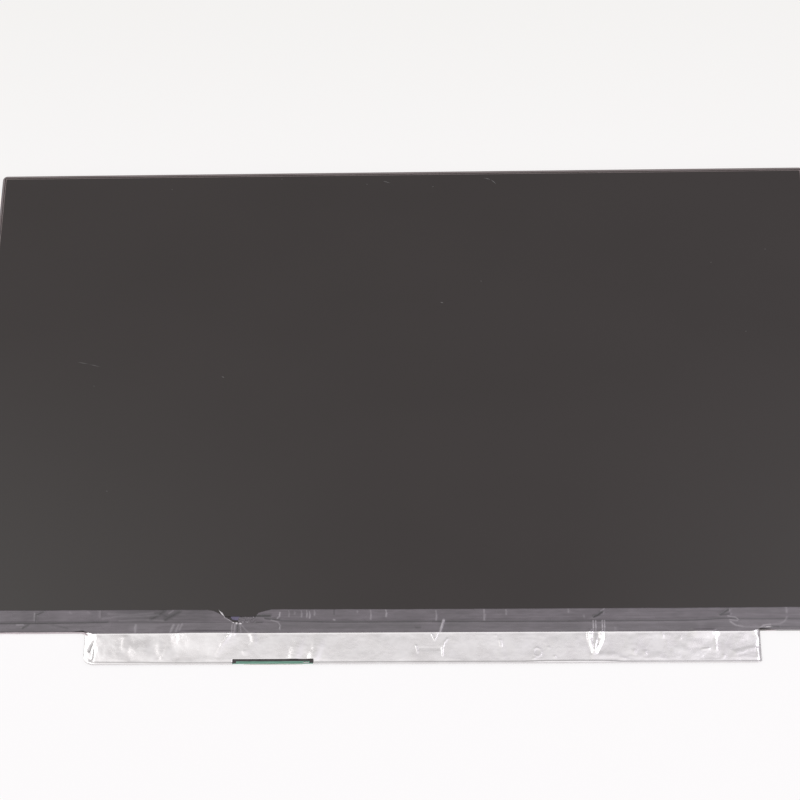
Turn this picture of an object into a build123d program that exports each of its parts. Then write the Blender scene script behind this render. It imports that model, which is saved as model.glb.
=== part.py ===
"""Laptop screen panel: a slim edge-lit display module with its control board standing out below the frame.

Millimetres. The module lies on its back: +X to the right and +Y to the top of the picture, +Z out of the
screen. The origin is on the rear face, in the middle of the whole outline, board included.
"""

import os

from build123d import *

# Outline of the module and of the board below it
panel_width = 315.8
panel_height = 185.6
board_reach = 11.9
corner_radius = 1.8

# Frame
frame_wall = 0.9
rim_round = 0.3
shelf_width = 2.0
shelf_thickness = 0.3
lower_bar = 4.4
lower_shelf = 2.8
bar_lip = 0.6

# Back cover, folded from sheet
cover_thickness = 0.25
cover_bend = 0.2
flange_top_gap = 0.2
flange_clearance = 0.1
flange_relief = 1.2
seat_clearance = 0.02

# Lugs on the frame that snap into windows in the cover's flanges
lug_length = 7.4
lug_height = 0.3
lug_clearance = 0.1
side_lugs = 3
top_lugs = 4

# Light sheets
sheet_clearance = 0.05
sheet_step = 0.1
sheet_play = 0.05
sheet_corner = 0.5
reflector_thickness = 0.15
guide_thickness = 0.5
diffuser_thickness = 0.1
prism_thickness = 0.15

# Light bar along the lower edge
bar_tape_thickness = 0.05
flex_thickness = 0.1
flex_width = 2.9
bar_clearance = 0.2
led_length = 3.0
led_depth = 1.0
led_height = 0.5
led_pitch = 7.2
led_margin = 0.3
led_gap = 0.1
tail_width = 9.0
tail_inset = 65.0
tail_pad = 2.5
tail_slope = 1.6
tail_clearance = 0.2

# Glass cell
cell_clearance = 0.25
rim_tape_thickness = 0.05
rim_tape_margin = 0.1
polariser_inset = 0.45
rear_polariser_thickness = 0.15
glass_thickness = 0.4
front_polariser_thickness = 0.2
front_inset = 0.3
front_stop = 2.3
glass_setback = 0.7
ledge_width = 2.3
rear_polariser_stop = 0.6

# Driver chips on the glass ledge, and the films that link the glass to the board
driver_count = 4
driver_length = 28.0
driver_depth = 0.9
driver_height = 0.3
driver_gap = 0.25
film_count = 4
film_width = 26.0
film_thickness = 0.1
film_gap = 0.2
film_landing = 2.2

# Control board
board_inset_left = 49.6
board_inset_right = 33.1
board_thickness = 0.6
board_gap = 0.2
rear_gap = 0.1
board_corner = 0.6
insulation_thickness = 0.05
insulation_margin = 0.4
insulation_notch = 0.85
insulation_leg = 1.3

# Signal socket on the rear of the board
socket_inset = 63.6
housing_length = 20.5
housing_depth = 4.0
housing_height = 0.9
shell_thickness = 0.15
shell_foot = 0.8
mouth_margin = 2.2
mouth_height = 0.5
mouth_floor = 0.12
mouth_depth = 3.2
contact_pitch = 0.5
contact_margin = 0.6
contact_width = 0.2
contact_thickness = 0.12
contact_setback = 0.4
contact_tail = 0.7
contact_clearance = 0.04

# Parts on the rear of the board
controller_size = 7.0
controller_height = 0.85
controller_offset = 55.0
power_size = 4.0
power_height = 0.75
power_inset = 24.0
backlight_inset = 42.0
memory_length = 3.0
memory_depth = 2.0
memory_height = 0.6
memory_spacing = 4.0
inductor_size = 4.0
inductor_height = 1.0
inductor_round = 0.8
inductor_spacing = 3.0
capacitor_length = 1.6
capacitor_depth = 0.8
capacitor_height = 0.8
capacitor_columns = 6
resistor_length = 1.0
resistor_depth = 0.5
resistor_height = 0.35
resistor_columns = 8
small_part_spacing = 1.4
small_part_rows = 2

# Foil round the board, and the black tape along the lower edge
foil_thickness = 0.05
foil_slack = 0.25
foil_flap = 1.6
foil_overhang_left = 4.0
foil_overhang_right = 2.9
foil_end_drop = 0.75
foil_end_gap = 0.2
foil_gap = 0.05
foil_window = 28.7
foil_window_depth = 1.9
foil_lap_run = 0.6
foil_ridge_width = 2.6
tape_thickness = 0.06
tape_lap = 4.9
tape_margin = 0.2
tape_fold = 1.0
tape_gap = 0.05
tear_inset = 101.7
tear_width = 24.4
tear_depth = 4.8
tear_floor = 8.6
sheet_bend = 0.15

# Folds across the foil: place along the board as a share of its length, and height
foil_ridges = (
    (0.041, 0.35),
    (0.085, 0.45),
    (0.146, 0.40),
    (0.288, 0.25),
    (0.492, 0.30),
    (0.532, 0.30),
    (0.620, 0.25),
    (0.770, 0.40),
    (0.986, 0.35),
)


# Heights above the rear face
z_plate = cover_thickness
z_flex = z_plate + bar_tape_thickness
z_led = z_flex + flex_thickness
z_guide = max(z_plate + reflector_thickness, z_led)
z_diffuser = z_guide + guide_thickness
z_lower_prism = z_diffuser + diffuser_thickness
z_upper_prism = z_lower_prism + prism_thickness
z_shelf = max(z_upper_prism + prism_thickness, z_led + led_height) + sheet_play
z_seat = z_shelf + shelf_thickness
z_cell = z_seat + rim_tape_thickness
z_array = z_cell + rear_polariser_thickness
z_ledge = z_array + glass_thickness
z_filter = z_ledge + glass_thickness
z_front = z_filter + front_polariser_thickness
socket_height = shell_thickness + housing_height
z_board = rear_gap + max(socket_height, inductor_height, controller_height, power_height)
z_board_top = z_board + board_thickness
z_foil = z_board_top + film_thickness
bend_outer = cover_bend + cover_thickness
flange_height = z_shelf - flange_top_gap
lug_rise = (bend_outer + flange_height) / 2

# Distances in from the module's left and right edges
in_flange = frame_wall + flange_clearance
in_sheet = in_flange + cover_thickness + cover_bend + sheet_clearance
in_window = frame_wall + shelf_width
in_glass = frame_wall + cell_clearance
in_rear_polariser = in_glass + polariser_inset

# Rows: distances down from the module's top edge
overall_height = panel_height + board_reach
row_bar = panel_height - lower_bar
row_window_end = row_bar - lower_shelf
row_glass_end = panel_height - glass_setback
row_filter_end = row_glass_end - ledge_width
row_rear_polariser_end = row_filter_end - rear_polariser_stop
row_plate_end = panel_height - bar_lip - flange_clearance
row_flex_end = row_bar - bar_clearance
row_flex = row_flex_end - flex_width
row_led_end = row_flex_end - led_margin
row_led = row_led_end - led_depth
row_guide_end = row_led - led_gap
row_reflector_end = row_flex - sheet_step
row_driver = row_filter_end + driver_gap
row_driver_end = row_driver + driver_depth
row_film = row_driver_end + film_gap
row_board = panel_height + board_gap
row_board_end = overall_height - foil_thickness - foil_slack
row_film_end = row_board + film_landing
row_insulation = row_film_end + film_gap
row_insulation_end = row_board_end - board_gap
row_mouth = row_board_end
row_socket = row_mouth - housing_depth
row_foil_end = overall_height - foil_thickness
row_flap = row_foil_end - foil_flap
row_parts = (row_board + row_flap) / 2

# Places along the board
board_left = -panel_width / 2 + board_inset_left
board_right = panel_width / 2 - board_inset_right
board_length = board_right - board_left
board_middle = (board_left + board_right) / 2
socket_x = board_left + socket_inset
controller_x = socket_x + controller_offset
power_x = board_left + power_inset
backlight_x = board_right - backlight_inset
tail_x = board_right - tail_inset


def row_y(row):
    """The Y of a row measured down from the module's top edge."""
    return overall_height / 2 - row


def sheet_rectangle(inset, first_row, last_row, corner=0.0):
    """Draw a rectangle between two rows, the same distance in from both sides of the module."""
    width = panel_width - 2 * inset
    height = last_row - first_row
    with Locations((0, row_y((first_row + last_row) / 2))):
        if corner > 0:
            RectangleRounded(width, height, corner)
        else:
            Rectangle(width, height)


def flat_sheet(inset, first_row, last_row, base, thickness, corner=0.0):
    """Add a flat sheet that lies at a height."""
    with BuildSketch(Plane.XY.offset(base)) as outline:
        sheet_rectangle(inset, first_row, last_row, corner)
    extrude(outline.sketch, amount=thickness)


def pocket(inset, first_row, last_row, base, depth):
    """Cut a straight-sided pocket between two rows."""
    with BuildSketch(Plane.XY.offset(base)) as outline:
        sheet_rectangle(inset, first_row, last_row)
    extrude(outline.sketch, amount=depth, mode=Mode.SUBTRACT)


def folded_sheet(plane, points, thickness, length, bend, side=Side.RIGHT):
    """Add a folded sheet of even thickness: one face follows the points, and the bends are round."""
    with BuildSketch(plane) as section:
        with BuildLine():
            FilletPolyline(*points, radius=bend)
            offset(amount=thickness, side=side)
        make_face()
    extrude(section.sketch, amount=length)


def rear_block(x, row, length, depth, height):
    """Add a plain block that hangs from the rear face of the board."""
    with BuildSketch(Plane.XY.offset(z_board)) as outline:
        with Locations((x, row_y(row))):
            Rectangle(length, depth)
    extrude(outline.sketch, amount=-height)


def rear_field(x, length, depth, columns, height):
    """Add rows of small parts that hang from the rear face of the board."""
    with BuildSketch(Plane.XY.offset(z_board)) as field:
        with Locations((x, row_y(row_parts))):
            with GridLocations(
                length + small_part_spacing, depth + small_part_spacing, columns, small_part_rows
            ):
                Rectangle(length, depth)
    extrude(field.sketch, amount=-height)


def save(node, name):
    """Label one finished piece and write it."""
    node.part.label = name
    export_step(node.part, f"parts/{name}.step")


def lug_places():
    """Middles of the lugs: along the two sides, then along the top, each with the way it points in."""
    places = []
    side_run = row_bar / side_lugs
    for index in range(side_lugs):
        y = row_y((index + 0.5) * side_run)
        places.append((-panel_width / 2, y, 1, 0))
        places.append((panel_width / 2, y, -1, 0))
    top_run = panel_width / top_lugs
    for index in range(top_lugs):
        x = -panel_width / 2 + (index + 0.5) * top_run
        places.append((x, row_y(0), 0, -1))
    return places


def lug_blocks(length, height, reach, mode):
    """Add or cut one block at each lug, from the frame's wall inward."""
    for x, y, inward_x, inward_y in lug_places():
        along_x = length if inward_x == 0 else reach
        along_y = length if inward_y == 0 else reach
        middle = frame_wall + reach / 2
        with Locations((x + inward_x * middle, y + inward_y * middle, lug_rise)):
            Box(along_x, along_y, height, mode=mode)


os.makedirs("parts", exist_ok=True)

# Moulded frame: rim, shelf that carries the glass, and a broad lower bar without a rim
with BuildPart() as mould_frame:
    with BuildSketch() as frame_outline:
        with Locations((0, row_y(panel_height / 2))):
            RectangleRounded(panel_width, panel_height, corner_radius)
    extrude(frame_outline.sketch, amount=z_front)
    fillet(mould_frame.edges().group_by(Axis.Z)[-1], rim_round)
    pocket(frame_wall, frame_wall, panel_height + board_gap, z_seat, z_front - z_seat)
    pocket(in_window, in_window, row_window_end, 0, z_front)
    pocket(frame_wall, frame_wall, row_bar, 0, z_shelf)
    pocket(frame_wall, row_bar, panel_height - bar_lip, 0, z_plate + seat_clearance)
    with BuildSketch() as tail_notch:
        with Locations((tail_x, row_y((row_bar + panel_height) / 2))):
            Rectangle(tail_width + 2 * tail_clearance, lower_bar)
    extrude(tail_notch.sketch, amount=z_led + tail_clearance, mode=Mode.SUBTRACT)
    lug_blocks(lug_length, lug_height, flange_clearance + cover_thickness, Mode.ADD)
save(mould_frame, "mould_frame")

# Back cover: a plate with three folded flanges, relieved at the corners
flange_row_start = in_flange + flange_relief
flange_row_end = row_bar - flange_relief
flange_edge = panel_width / 2 - in_flange
with BuildPart() as back_cover:
    flat_sheet(in_flange + bend_outer, in_flange + bend_outer, row_plate_end, 0, cover_thickness)
    flat_sheet(in_flange, row_bar, row_plate_end, 0, cover_thickness)
    for hand in (-1, 1):
        folded_sheet(
            Plane.XZ.offset(-row_y(flange_row_start)),
            [
                (hand * (flange_edge - 2 * bend_outer), 0),
                (hand * flange_edge, 0),
                (hand * flange_edge, flange_height),
            ],
            cover_thickness,
            flange_row_end - flange_row_start,
            bend_outer,
            Side.RIGHT if hand < 0 else Side.LEFT,
        )
    folded_sheet(
        Plane.YZ.offset(-flange_edge + flange_relief),
        [
            (row_y(in_flange + 2 * bend_outer), 0),
            (row_y(in_flange), 0),
            (row_y(in_flange), flange_height),
        ],
        cover_thickness,
        2 * (flange_edge - flange_relief),
        bend_outer,
        Side.LEFT,
    )
    lug_blocks(
        lug_length + 2 * lug_clearance,
        lug_height + 2 * lug_clearance,
        flange_clearance + bend_outer,
        Mode.SUBTRACT,
    )
save(back_cover, "back_cover")

# Light sheets, stacked on the cover plate
with BuildPart() as reflector_sheet:
    flat_sheet(in_sheet, in_sheet, row_reflector_end, z_plate, reflector_thickness, sheet_corner)
save(reflector_sheet, "reflector_sheet")

with BuildPart() as light_guide:
    flat_sheet(in_sheet, in_sheet, row_guide_end, z_guide, guide_thickness, sheet_corner)
save(light_guide, "light_guide")

film_stack = (
    ("diffuser_sheet", z_diffuser, diffuser_thickness),
    ("lower_prism_sheet", z_lower_prism, prism_thickness),
    ("upper_prism_sheet", z_upper_prism, prism_thickness),
)
for step, (name, base, thickness) in enumerate(film_stack, start=1):
    inset = in_sheet + step * sheet_step
    with BuildPart() as light_sheet:
        flat_sheet(inset, inset, row_guide_end - step * sheet_step, base, thickness, sheet_corner)
    save(light_sheet, name)

# Light bar: adhesive tape, flexible circuit with a tail to the board, and the row of emitters
with BuildPart() as light_bar_tape:
    flat_sheet(in_sheet, row_flex, row_flex_end, z_plate, bar_tape_thickness)
save(light_bar_tape, "light_bar_tape")

with BuildPart() as light_bar_flex:
    flat_sheet(in_sheet, row_flex, row_flex_end, z_flex, flex_thickness)
    folded_sheet(
        Plane.YZ.offset(tail_x - tail_width / 2),
        [
            (row_y(row_led), z_flex),
            (row_y(row_board), z_flex),
            (row_y(row_board + tail_slope), z_board - flex_thickness),
            (row_y(row_board + tail_slope + tail_pad), z_board - flex_thickness),
        ],
        flex_thickness,
        tail_width,
        sheet_bend,
    )
save(light_bar_flex, "light_bar_flex")

led_count = int((panel_width - 2 * in_sheet - led_length) / led_pitch) + 1
with BuildPart() as light_emitters:
    with BuildSketch(Plane.XY.offset(z_led)) as led_row:
        with Locations((0, row_y((row_led + row_led_end) / 2))):
            with GridLocations(led_pitch, 0, led_count, 1):
                Rectangle(led_length, led_depth)
    extrude(led_row.sketch, amount=led_height)
save(light_emitters, "light_emitters")

# Glass cell, resting on a ring of tape on the frame's shelf
with BuildPart() as rim_tape:
    flat_sheet(
        in_rear_polariser + rim_tape_margin,
        in_rear_polariser + rim_tape_margin,
        row_rear_polariser_end - rim_tape_margin,
        z_seat,
        rim_tape_thickness,
    )
    pocket(
        in_window - rim_tape_margin,
        in_window - rim_tape_margin,
        row_window_end + rim_tape_margin,
        z_seat,
        rim_tape_thickness,
    )
save(rim_tape, "rim_tape")

with BuildPart() as rear_polariser:
    flat_sheet(in_rear_polariser, in_rear_polariser, row_rear_polariser_end, z_cell, rear_polariser_thickness)
save(rear_polariser, "rear_polariser")

with BuildPart() as array_glass:
    flat_sheet(in_glass, in_glass, row_glass_end, z_array, glass_thickness)
save(array_glass, "array_glass")

with BuildPart() as filter_glass:
    flat_sheet(in_glass, in_glass, row_filter_end, z_ledge, glass_thickness)
save(filter_glass, "filter_glass")

in_front = in_glass + front_inset
row_front_end = row_filter_end - front_stop
with BuildPart() as front_polariser:
    flat_sheet(in_front, in_front, row_front_end, z_filter, front_polariser_thickness, sheet_corner)
save(front_polariser, "front_polariser")

# Driver chips in a row on the glass ledge
driver_run = (panel_width - 2 * in_glass) / driver_count
for number in range(1, driver_count + 1):
    driver_x = (number - (driver_count + 1) / 2) * driver_run
    with BuildPart() as source_driver:
        with BuildSketch(Plane.XY.offset(z_ledge)) as chip_outline:
            with Locations((driver_x, row_y((row_driver + row_driver_end) / 2))):
                Rectangle(driver_length, driver_depth)
        extrude(chip_outline.sketch, amount=driver_height)
    save(source_driver, f"source_driver_{number}")

# Link films: bonded to the ledge, stepped down and bonded to the board
film_run = board_length / film_count
for number in range(1, film_count + 1):
    film_x = board_middle + (number - (film_count + 1) / 2) * film_run
    with BuildPart() as link_film:
        folded_sheet(
            Plane.YZ.offset(film_x - film_width / 2),
            [
                (row_y(row_film), z_ledge),
                (row_y(row_glass_end + sheet_step), z_ledge),
                (row_y(row_board + sheet_step), z_board_top),
                (row_y(row_film_end), z_board_top),
            ],
            film_thickness,
            film_width,
            sheet_bend,
        )
    save(link_film, f"link_film_{number}")

# Control board
with BuildPart() as control_board:
    with BuildSketch(Plane.XY.offset(z_board)) as board_outline:
        with Locations((board_middle, row_y((row_board + row_board_end) / 2))):
            RectangleRounded(board_length, row_board_end - row_board, board_corner)
    extrude(board_outline.sketch, amount=board_thickness)
save(control_board, "control_board")

# Insulating film: black, on the front of the board under the foil, notched above the socket
with BuildPart() as insulating_film:
    with BuildSketch(Plane.XY.offset(z_board_top)) as film_outline:
        with Locations((board_middle, row_y((row_insulation + row_insulation_end) / 2))):
            Rectangle(board_length - 2 * insulation_margin, row_insulation_end - row_insulation)
        with Locations((socket_x, row_y(row_board_end))):
            Rectangle(
                foil_window - 2 * insulation_leg,
                insulation_notch,
                align=(Align.CENTER, Align.MIN),
                mode=Mode.SUBTRACT,
            )
    extrude(film_outline.sketch, amount=insulation_thickness)
save(insulating_film, "insulating_film")

# Chips on the rear of the board
with BuildPart() as timing_controller:
    rear_block(controller_x, row_parts, controller_size, controller_size, controller_height)
save(timing_controller, "timing_controller")

with BuildPart() as power_chip:
    rear_block(power_x, row_parts, power_size, power_size, power_height)
save(power_chip, "power_chip")

with BuildPart() as backlight_driver:
    rear_block(backlight_x, row_parts, power_size, power_size, power_height)
save(backlight_driver, "backlight_driver")

with BuildPart() as memory_chip:
    memory_x = controller_x + controller_size / 2 + memory_spacing
    rear_block(memory_x, row_parts, memory_length, memory_depth, memory_height)
save(memory_chip, "memory_chip")

# Power inductors, one beside each supply chip
inductor_step = power_size / 2 + inductor_spacing + inductor_size / 2
inductor_places = (power_x + inductor_step, backlight_x - inductor_step)
for number, inductor_x in enumerate(inductor_places, start=1):
    with BuildPart() as power_inductor:
        rear_block(inductor_x, row_parts, inductor_size, inductor_size, inductor_height)
        fillet(power_inductor.edges().filter_by(Axis.Z), inductor_round)
    save(power_inductor, f"power_inductor_{number}")

# Small parts in blocks of columns and rows beside the chips they serve
capacitor_step = capacitor_length + small_part_spacing
capacitor_offset = (power_size + capacitor_columns * capacitor_step) / 2
with BuildPart() as ceramic_capacitors:
    for block_x in (power_x - capacitor_offset, backlight_x + capacitor_offset):
        rear_field(block_x, capacitor_length, capacitor_depth, capacitor_columns, capacitor_height)
save(ceramic_capacitors, "ceramic_capacitors")

resistor_step = resistor_length + small_part_spacing
resistor_offset = (controller_size + resistor_columns * resistor_step) / 2
with BuildPart() as chip_resistors:
    block_x = controller_x - resistor_offset
    rear_field(block_x, resistor_length, resistor_depth, resistor_columns, resistor_height)
save(chip_resistors, "chip_resistors")

# Signal socket: moulded housing with a mouth toward the board's lower edge
z_housing = z_board - housing_height
z_contact = z_housing + mouth_floor + mouth_height - contact_thickness
mouth_length = housing_length - 2 * mouth_margin
contact_count = int((mouth_length - contact_width - 2 * contact_margin) / contact_pitch) + 1
with BuildPart() as connector_housing:
    rear_block(socket_x, (row_socket + row_mouth) / 2, housing_length, housing_depth, housing_height)
    with BuildSketch(Plane.XZ.offset(-row_y(row_mouth - mouth_depth))) as mouth:
        with Locations((socket_x, z_housing + mouth_floor + mouth_height / 2)):
            Rectangle(mouth_length, mouth_height)
    extrude(mouth.sketch, amount=mouth_depth, mode=Mode.SUBTRACT)
    with BuildSketch(Plane.XZ.offset(-row_y(row_socket))) as contact_slots:
        with Locations((socket_x, z_contact + contact_thickness / 2)):
            with GridLocations(contact_pitch, 0, contact_count, 1):
                Rectangle(contact_width + 2 * contact_clearance, contact_thickness + 2 * contact_clearance)
    extrude(contact_slots.sketch, amount=housing_depth - mouth_depth, mode=Mode.SUBTRACT)
save(connector_housing, "connector_housing")

# Socket shell: a strip bent up round both ends of the housing, with a soldered foot at each end
z_shell = z_housing - shell_thickness
shell_length = housing_length + 2 * shell_thickness
with BuildPart() as connector_shell:
    with BuildSketch(Plane.XZ.offset(-row_y(row_socket))) as shell_section:
        with Locations((socket_x, z_shell)):
            Rectangle(shell_length, socket_height, align=(Align.CENTER, Align.MIN))
        fillet(shell_section.vertices().group_by(Axis.Y)[0], shell_thickness)
        with Locations((socket_x, z_housing)):
            Rectangle(housing_length, housing_height, align=(Align.CENTER, Align.MIN), mode=Mode.SUBTRACT)
        for hand, grow in ((-1, Align.MAX), (1, Align.MIN)):
            with Locations((socket_x + hand * shell_length / 2, z_board)):
                Rectangle(shell_foot, shell_thickness, align=(grow, Align.MAX))
    extrude(shell_section.sketch, amount=housing_depth)
save(connector_shell, "connector_shell")

# Contacts: a strip along the roof of the mouth, out through the back wall and up to the board
contact_bars = (
    (row_socket - contact_thickness, row_mouth - contact_setback, z_contact, z_contact + contact_thickness),
    (row_socket - contact_thickness, row_socket, z_contact, z_board),
    (row_socket - contact_thickness - contact_tail, row_socket, z_board - contact_thickness, z_board),
)
with BuildPart() as connector_contacts:
    for index in range(contact_count):
        contact_x = socket_x + (index - contact_count / 2 + 0.5) * contact_pitch
        with BuildSketch(Plane.YZ.offset(contact_x - contact_width / 2)) as contact_section:
            for first_row, last_row, low, high in contact_bars:
                with Locations((row_y(last_row), low)):
                    Rectangle(last_row - first_row, high - low, align=(Align.MIN, Align.MIN))
        extrude(contact_section.sketch, amount=contact_width)
save(connector_contacts, "connector_contacts")

# Foil shield: lapped under the tape, across the board in uneven folds, round its lower edge and back
# under it, with sloping ends and a window at the socket
foil_lap = z_ledge + film_thickness
foil_step = sheet_step + film_thickness / 2
foil_left = board_left - foil_end_gap
foil_right = board_right + foil_end_gap
row_foil = row_board + foil_step
foil_top = [(board_left - foil_overhang_left, z_foil - foil_end_drop), (foil_left, z_foil)]
for place, height in foil_ridges:
    ridge_x = board_left + place * board_length
    foil_top.append((ridge_x - foil_ridge_width / 2, z_foil))
    foil_top.append((ridge_x, z_foil + height))
    foil_top.append((ridge_x + foil_ridge_width / 2, z_foil))
foil_top.append((foil_right, z_foil))
foil_top.append((board_right + foil_overhang_right, z_foil - foil_end_drop))
with BuildPart() as foil_shield:
    folded_sheet(
        Plane.YZ.offset(foil_left),
        [
            (row_y(row_glass_end + foil_step), foil_lap),
            (row_y(row_foil), z_foil),
            (row_y(row_foil + foil_lap_run), z_foil),
        ],
        foil_thickness,
        foil_right - foil_left,
        sheet_bend,
    )
    folded_sheet(
        Plane.XZ.offset(-row_y(row_foil + sheet_bend)),
        foil_top,
        foil_thickness,
        row_foil_end - row_foil - 2 * sheet_bend,
        sheet_bend,
        Side.LEFT,
    )
    folded_sheet(
        Plane.YZ.offset(foil_left),
        [
            (row_y(row_foil_end - foil_lap_run), z_foil),
            (row_y(row_foil_end), z_foil),
            (row_y(row_foil_end), z_board - foil_gap),
            (row_y(row_flap), z_board - foil_gap),
        ],
        foil_thickness,
        foil_right - foil_left,
        sheet_bend,
    )
    for depth, height in ((foil_window_depth, z_front), (foil_flap, z_board)):
        with Locations((socket_x, row_y(overall_height), 0)):
            Box(
                foil_window,
                depth,
                height,
                align=(Align.CENTER, Align.MIN, Align.MIN),
                mode=Mode.SUBTRACT,
            )
save(foil_shield, "foil_shield")

# Cover tape: from the screen down over the ledge; onto the foil along the board, and folded down
# over the frame's lower face beyond the board's ends; torn at its upper edge above the socket
tape_edge = panel_width / 2 - frame_wall - tape_margin
row_tape = row_filter_end - tape_lap
tear_x = tear_inset - panel_width / 2
tape_step = foil_step + foil_thickness / 2
tape_slope = [
    (row_y(row_tape), z_front),
    (row_y(row_filter_end + front_inset / 2), z_front),
    (row_y(row_film), z_ledge + driver_height + tape_gap),
]
tape_on_foil = [
    (row_y(row_glass_end + tape_step), foil_lap + foil_thickness + tape_gap),
    (row_y(row_board + tape_step), z_foil + foil_thickness + tape_gap),
]
tape_on_frame = [
    (row_y(panel_height + tape_gap), z_ledge),
    (row_y(panel_height + tape_gap), z_seat - tape_fold),
]
tape_runs = (
    (-tape_edge, foil_left, tape_on_frame),
    (foil_left, foil_right, tape_on_foil),
    (foil_right, tape_edge, tape_on_frame),
)
with BuildPart() as cover_tape:
    for start, end, landing in tape_runs:
        folded_sheet(Plane.YZ.offset(start), tape_slope + landing, tape_thickness, end - start, sheet_bend)
    with BuildSketch(Plane.XY.offset(z_filter)) as tear:
        with BuildLine():
            Polyline(
                (tear_x - tear_width / 2, row_y(row_tape)),
                (tear_x + tear_width / 2, row_y(row_tape)),
                (tear_x + tear_floor / 2, row_y(row_tape + tear_depth)),
                (tear_x - tear_floor / 2, row_y(row_tape + tear_depth)),
                close=True,
            )
        make_face()
    extrude(tear.sketch, amount=z_front, mode=Mode.SUBTRACT)
save(cover_tape, "cover_tape")
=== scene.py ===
# %% [markdown]
# # A bare laptop screen panel
# The object is a slim display module that lies face up: a matt screen in a thin black frame, a black tape
# along its lower edge, and a control board wrapped in aluminium foil below the tape. The drawing office has
# already given every piece its true size and place, so this lesson adds what a drawing leaves out: finishes,
# wrinkles, the tear and the dust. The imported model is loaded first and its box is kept, because the dressed
# panel must stay the same size.

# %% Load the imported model
import math

import bpy
import numpy as np
from mathutils import Matrix, Vector


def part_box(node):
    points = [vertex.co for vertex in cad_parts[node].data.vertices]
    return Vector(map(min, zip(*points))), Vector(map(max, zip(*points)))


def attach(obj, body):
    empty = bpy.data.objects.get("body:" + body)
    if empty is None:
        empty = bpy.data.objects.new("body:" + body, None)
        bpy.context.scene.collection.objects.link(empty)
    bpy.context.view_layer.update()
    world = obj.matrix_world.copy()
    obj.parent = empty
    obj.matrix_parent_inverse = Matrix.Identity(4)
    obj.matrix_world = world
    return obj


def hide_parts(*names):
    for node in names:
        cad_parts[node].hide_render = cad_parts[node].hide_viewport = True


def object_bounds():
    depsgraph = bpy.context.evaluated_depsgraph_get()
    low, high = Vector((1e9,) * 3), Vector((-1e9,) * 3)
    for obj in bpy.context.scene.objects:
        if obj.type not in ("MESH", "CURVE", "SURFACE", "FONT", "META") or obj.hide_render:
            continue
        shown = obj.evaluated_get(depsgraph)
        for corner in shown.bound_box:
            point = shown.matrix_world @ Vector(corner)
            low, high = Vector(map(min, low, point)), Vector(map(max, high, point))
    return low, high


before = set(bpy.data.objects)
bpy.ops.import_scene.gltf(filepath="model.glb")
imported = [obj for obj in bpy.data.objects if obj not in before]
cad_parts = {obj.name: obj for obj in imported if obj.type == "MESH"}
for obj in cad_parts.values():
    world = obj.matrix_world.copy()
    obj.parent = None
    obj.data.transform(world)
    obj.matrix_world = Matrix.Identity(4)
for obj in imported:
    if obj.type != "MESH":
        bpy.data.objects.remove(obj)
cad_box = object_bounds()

MM = 0.001
scene = bpy.context.scene
scene.view_settings.view_transform = "Standard"
cad_sides = [round(side, 4) for side in cad_box[1] - cad_box[0]]
print("loaded", len(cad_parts), "pieces in a box of", cad_sides)

# %% [markdown]
# ## One ruler for the whole panel
# A panel is measured from its top edge, as its drawing does, so a row is a distance down from that edge. The
# places along it are measured from the middle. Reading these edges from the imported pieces, instead of
# writing them again, keeps every new surface on the piece that carries it.

# %% The ruler
frame_low, frame_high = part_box("mould_frame")
tape_low, tape_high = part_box("cover_tape")
foil_low, foil_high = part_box("foil_shield")
board_low, board_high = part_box("control_board")
screen_low, screen_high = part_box("front_polariser")


def row_of(y):
    """The row, in millimetres down from the panel's top edge, of a Y in metres."""
    return (frame_high.y - y) / MM


def y_of(row):
    """The Y in metres of a row in millimetres."""
    return frame_high.y - np.asarray(row) * MM


tape_row = row_of(tape_high.y)
frame_end_row = row_of(frame_low.y)
foil_end_row = row_of(foil_low.y)
for edge, row in (("tape", tape_row), ("frame end", frame_end_row), ("foil end", foil_end_row)):
    print(edge, "at row", round(row, 2))

# %% [markdown]
# ## The camera
# The panel is seen from in front and well above, a little from the right, with the camera tipped by about
# four degrees. A camera can be aimed with a tracking constraint, but a constraint can't hold a tip, so its
# three axes are worked out and written into its matrix. The focal length is a long one, which keeps the
# edges nearly parallel.

# %% Aim the camera
camera_azimuth = math.radians(4.164)
camera_elevation = math.radians(67.699)
camera_tip = math.radians(-4.312)
camera_distance = 0.66127
camera_target = Vector((0.0, 0.0026, 0.0))
camera_lens = 79.214

back = Vector(
    (
        math.sin(camera_azimuth) * math.cos(camera_elevation),
        -math.cos(camera_azimuth) * math.cos(camera_elevation),
        math.sin(camera_elevation),
    )
)
level = Vector((math.cos(camera_azimuth), math.sin(camera_azimuth), 0.0))
rise = back.cross(level)
right = math.cos(camera_tip) * level + math.sin(camera_tip) * rise
up = math.cos(camera_tip) * rise - math.sin(camera_tip) * level
camera = bpy.data.objects.new("camera", bpy.data.cameras.new("camera"))
camera.data.lens = camera_lens
camera.data.sensor_width = 36.0
camera.matrix_world = Matrix.Translation(camera_target + back * camera_distance) @ Matrix(
    (right, up, back)
).transposed().to_4x4()
scene.collection.objects.link(camera)
scene.camera = camera
print("camera at", [round(place, 3) for place in camera.matrix_world.translation])

# %% [markdown]
# ## Small tools for node graphs
# The look of a surface or of the room is a small graph of nodes. A few moves come back all the time: start a
# material, add a node with its inputs, ask where a point is, and turn a number into a colour or into another
# number. They could be clicked together by hand, but written once they keep each graph short enough to read.


# %% Tools for node graphs
def start_finish(name):
    """A new material: the material, its node tree and its shader."""
    finish = bpy.data.materials.new(name)
    finish.use_nodes = True
    tree = finish.node_tree
    return finish, tree, tree.nodes["Principled BSDF"]


def fill(tree, node, inputs):
    """Set a node's inputs: each is a plain value or another node's output."""
    for name, value in inputs.items():
        if isinstance(value, bpy.types.NodeSocket):
            tree.links.new(value, node.inputs[name])
        else:
            node.inputs[name].default_value = value


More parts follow.
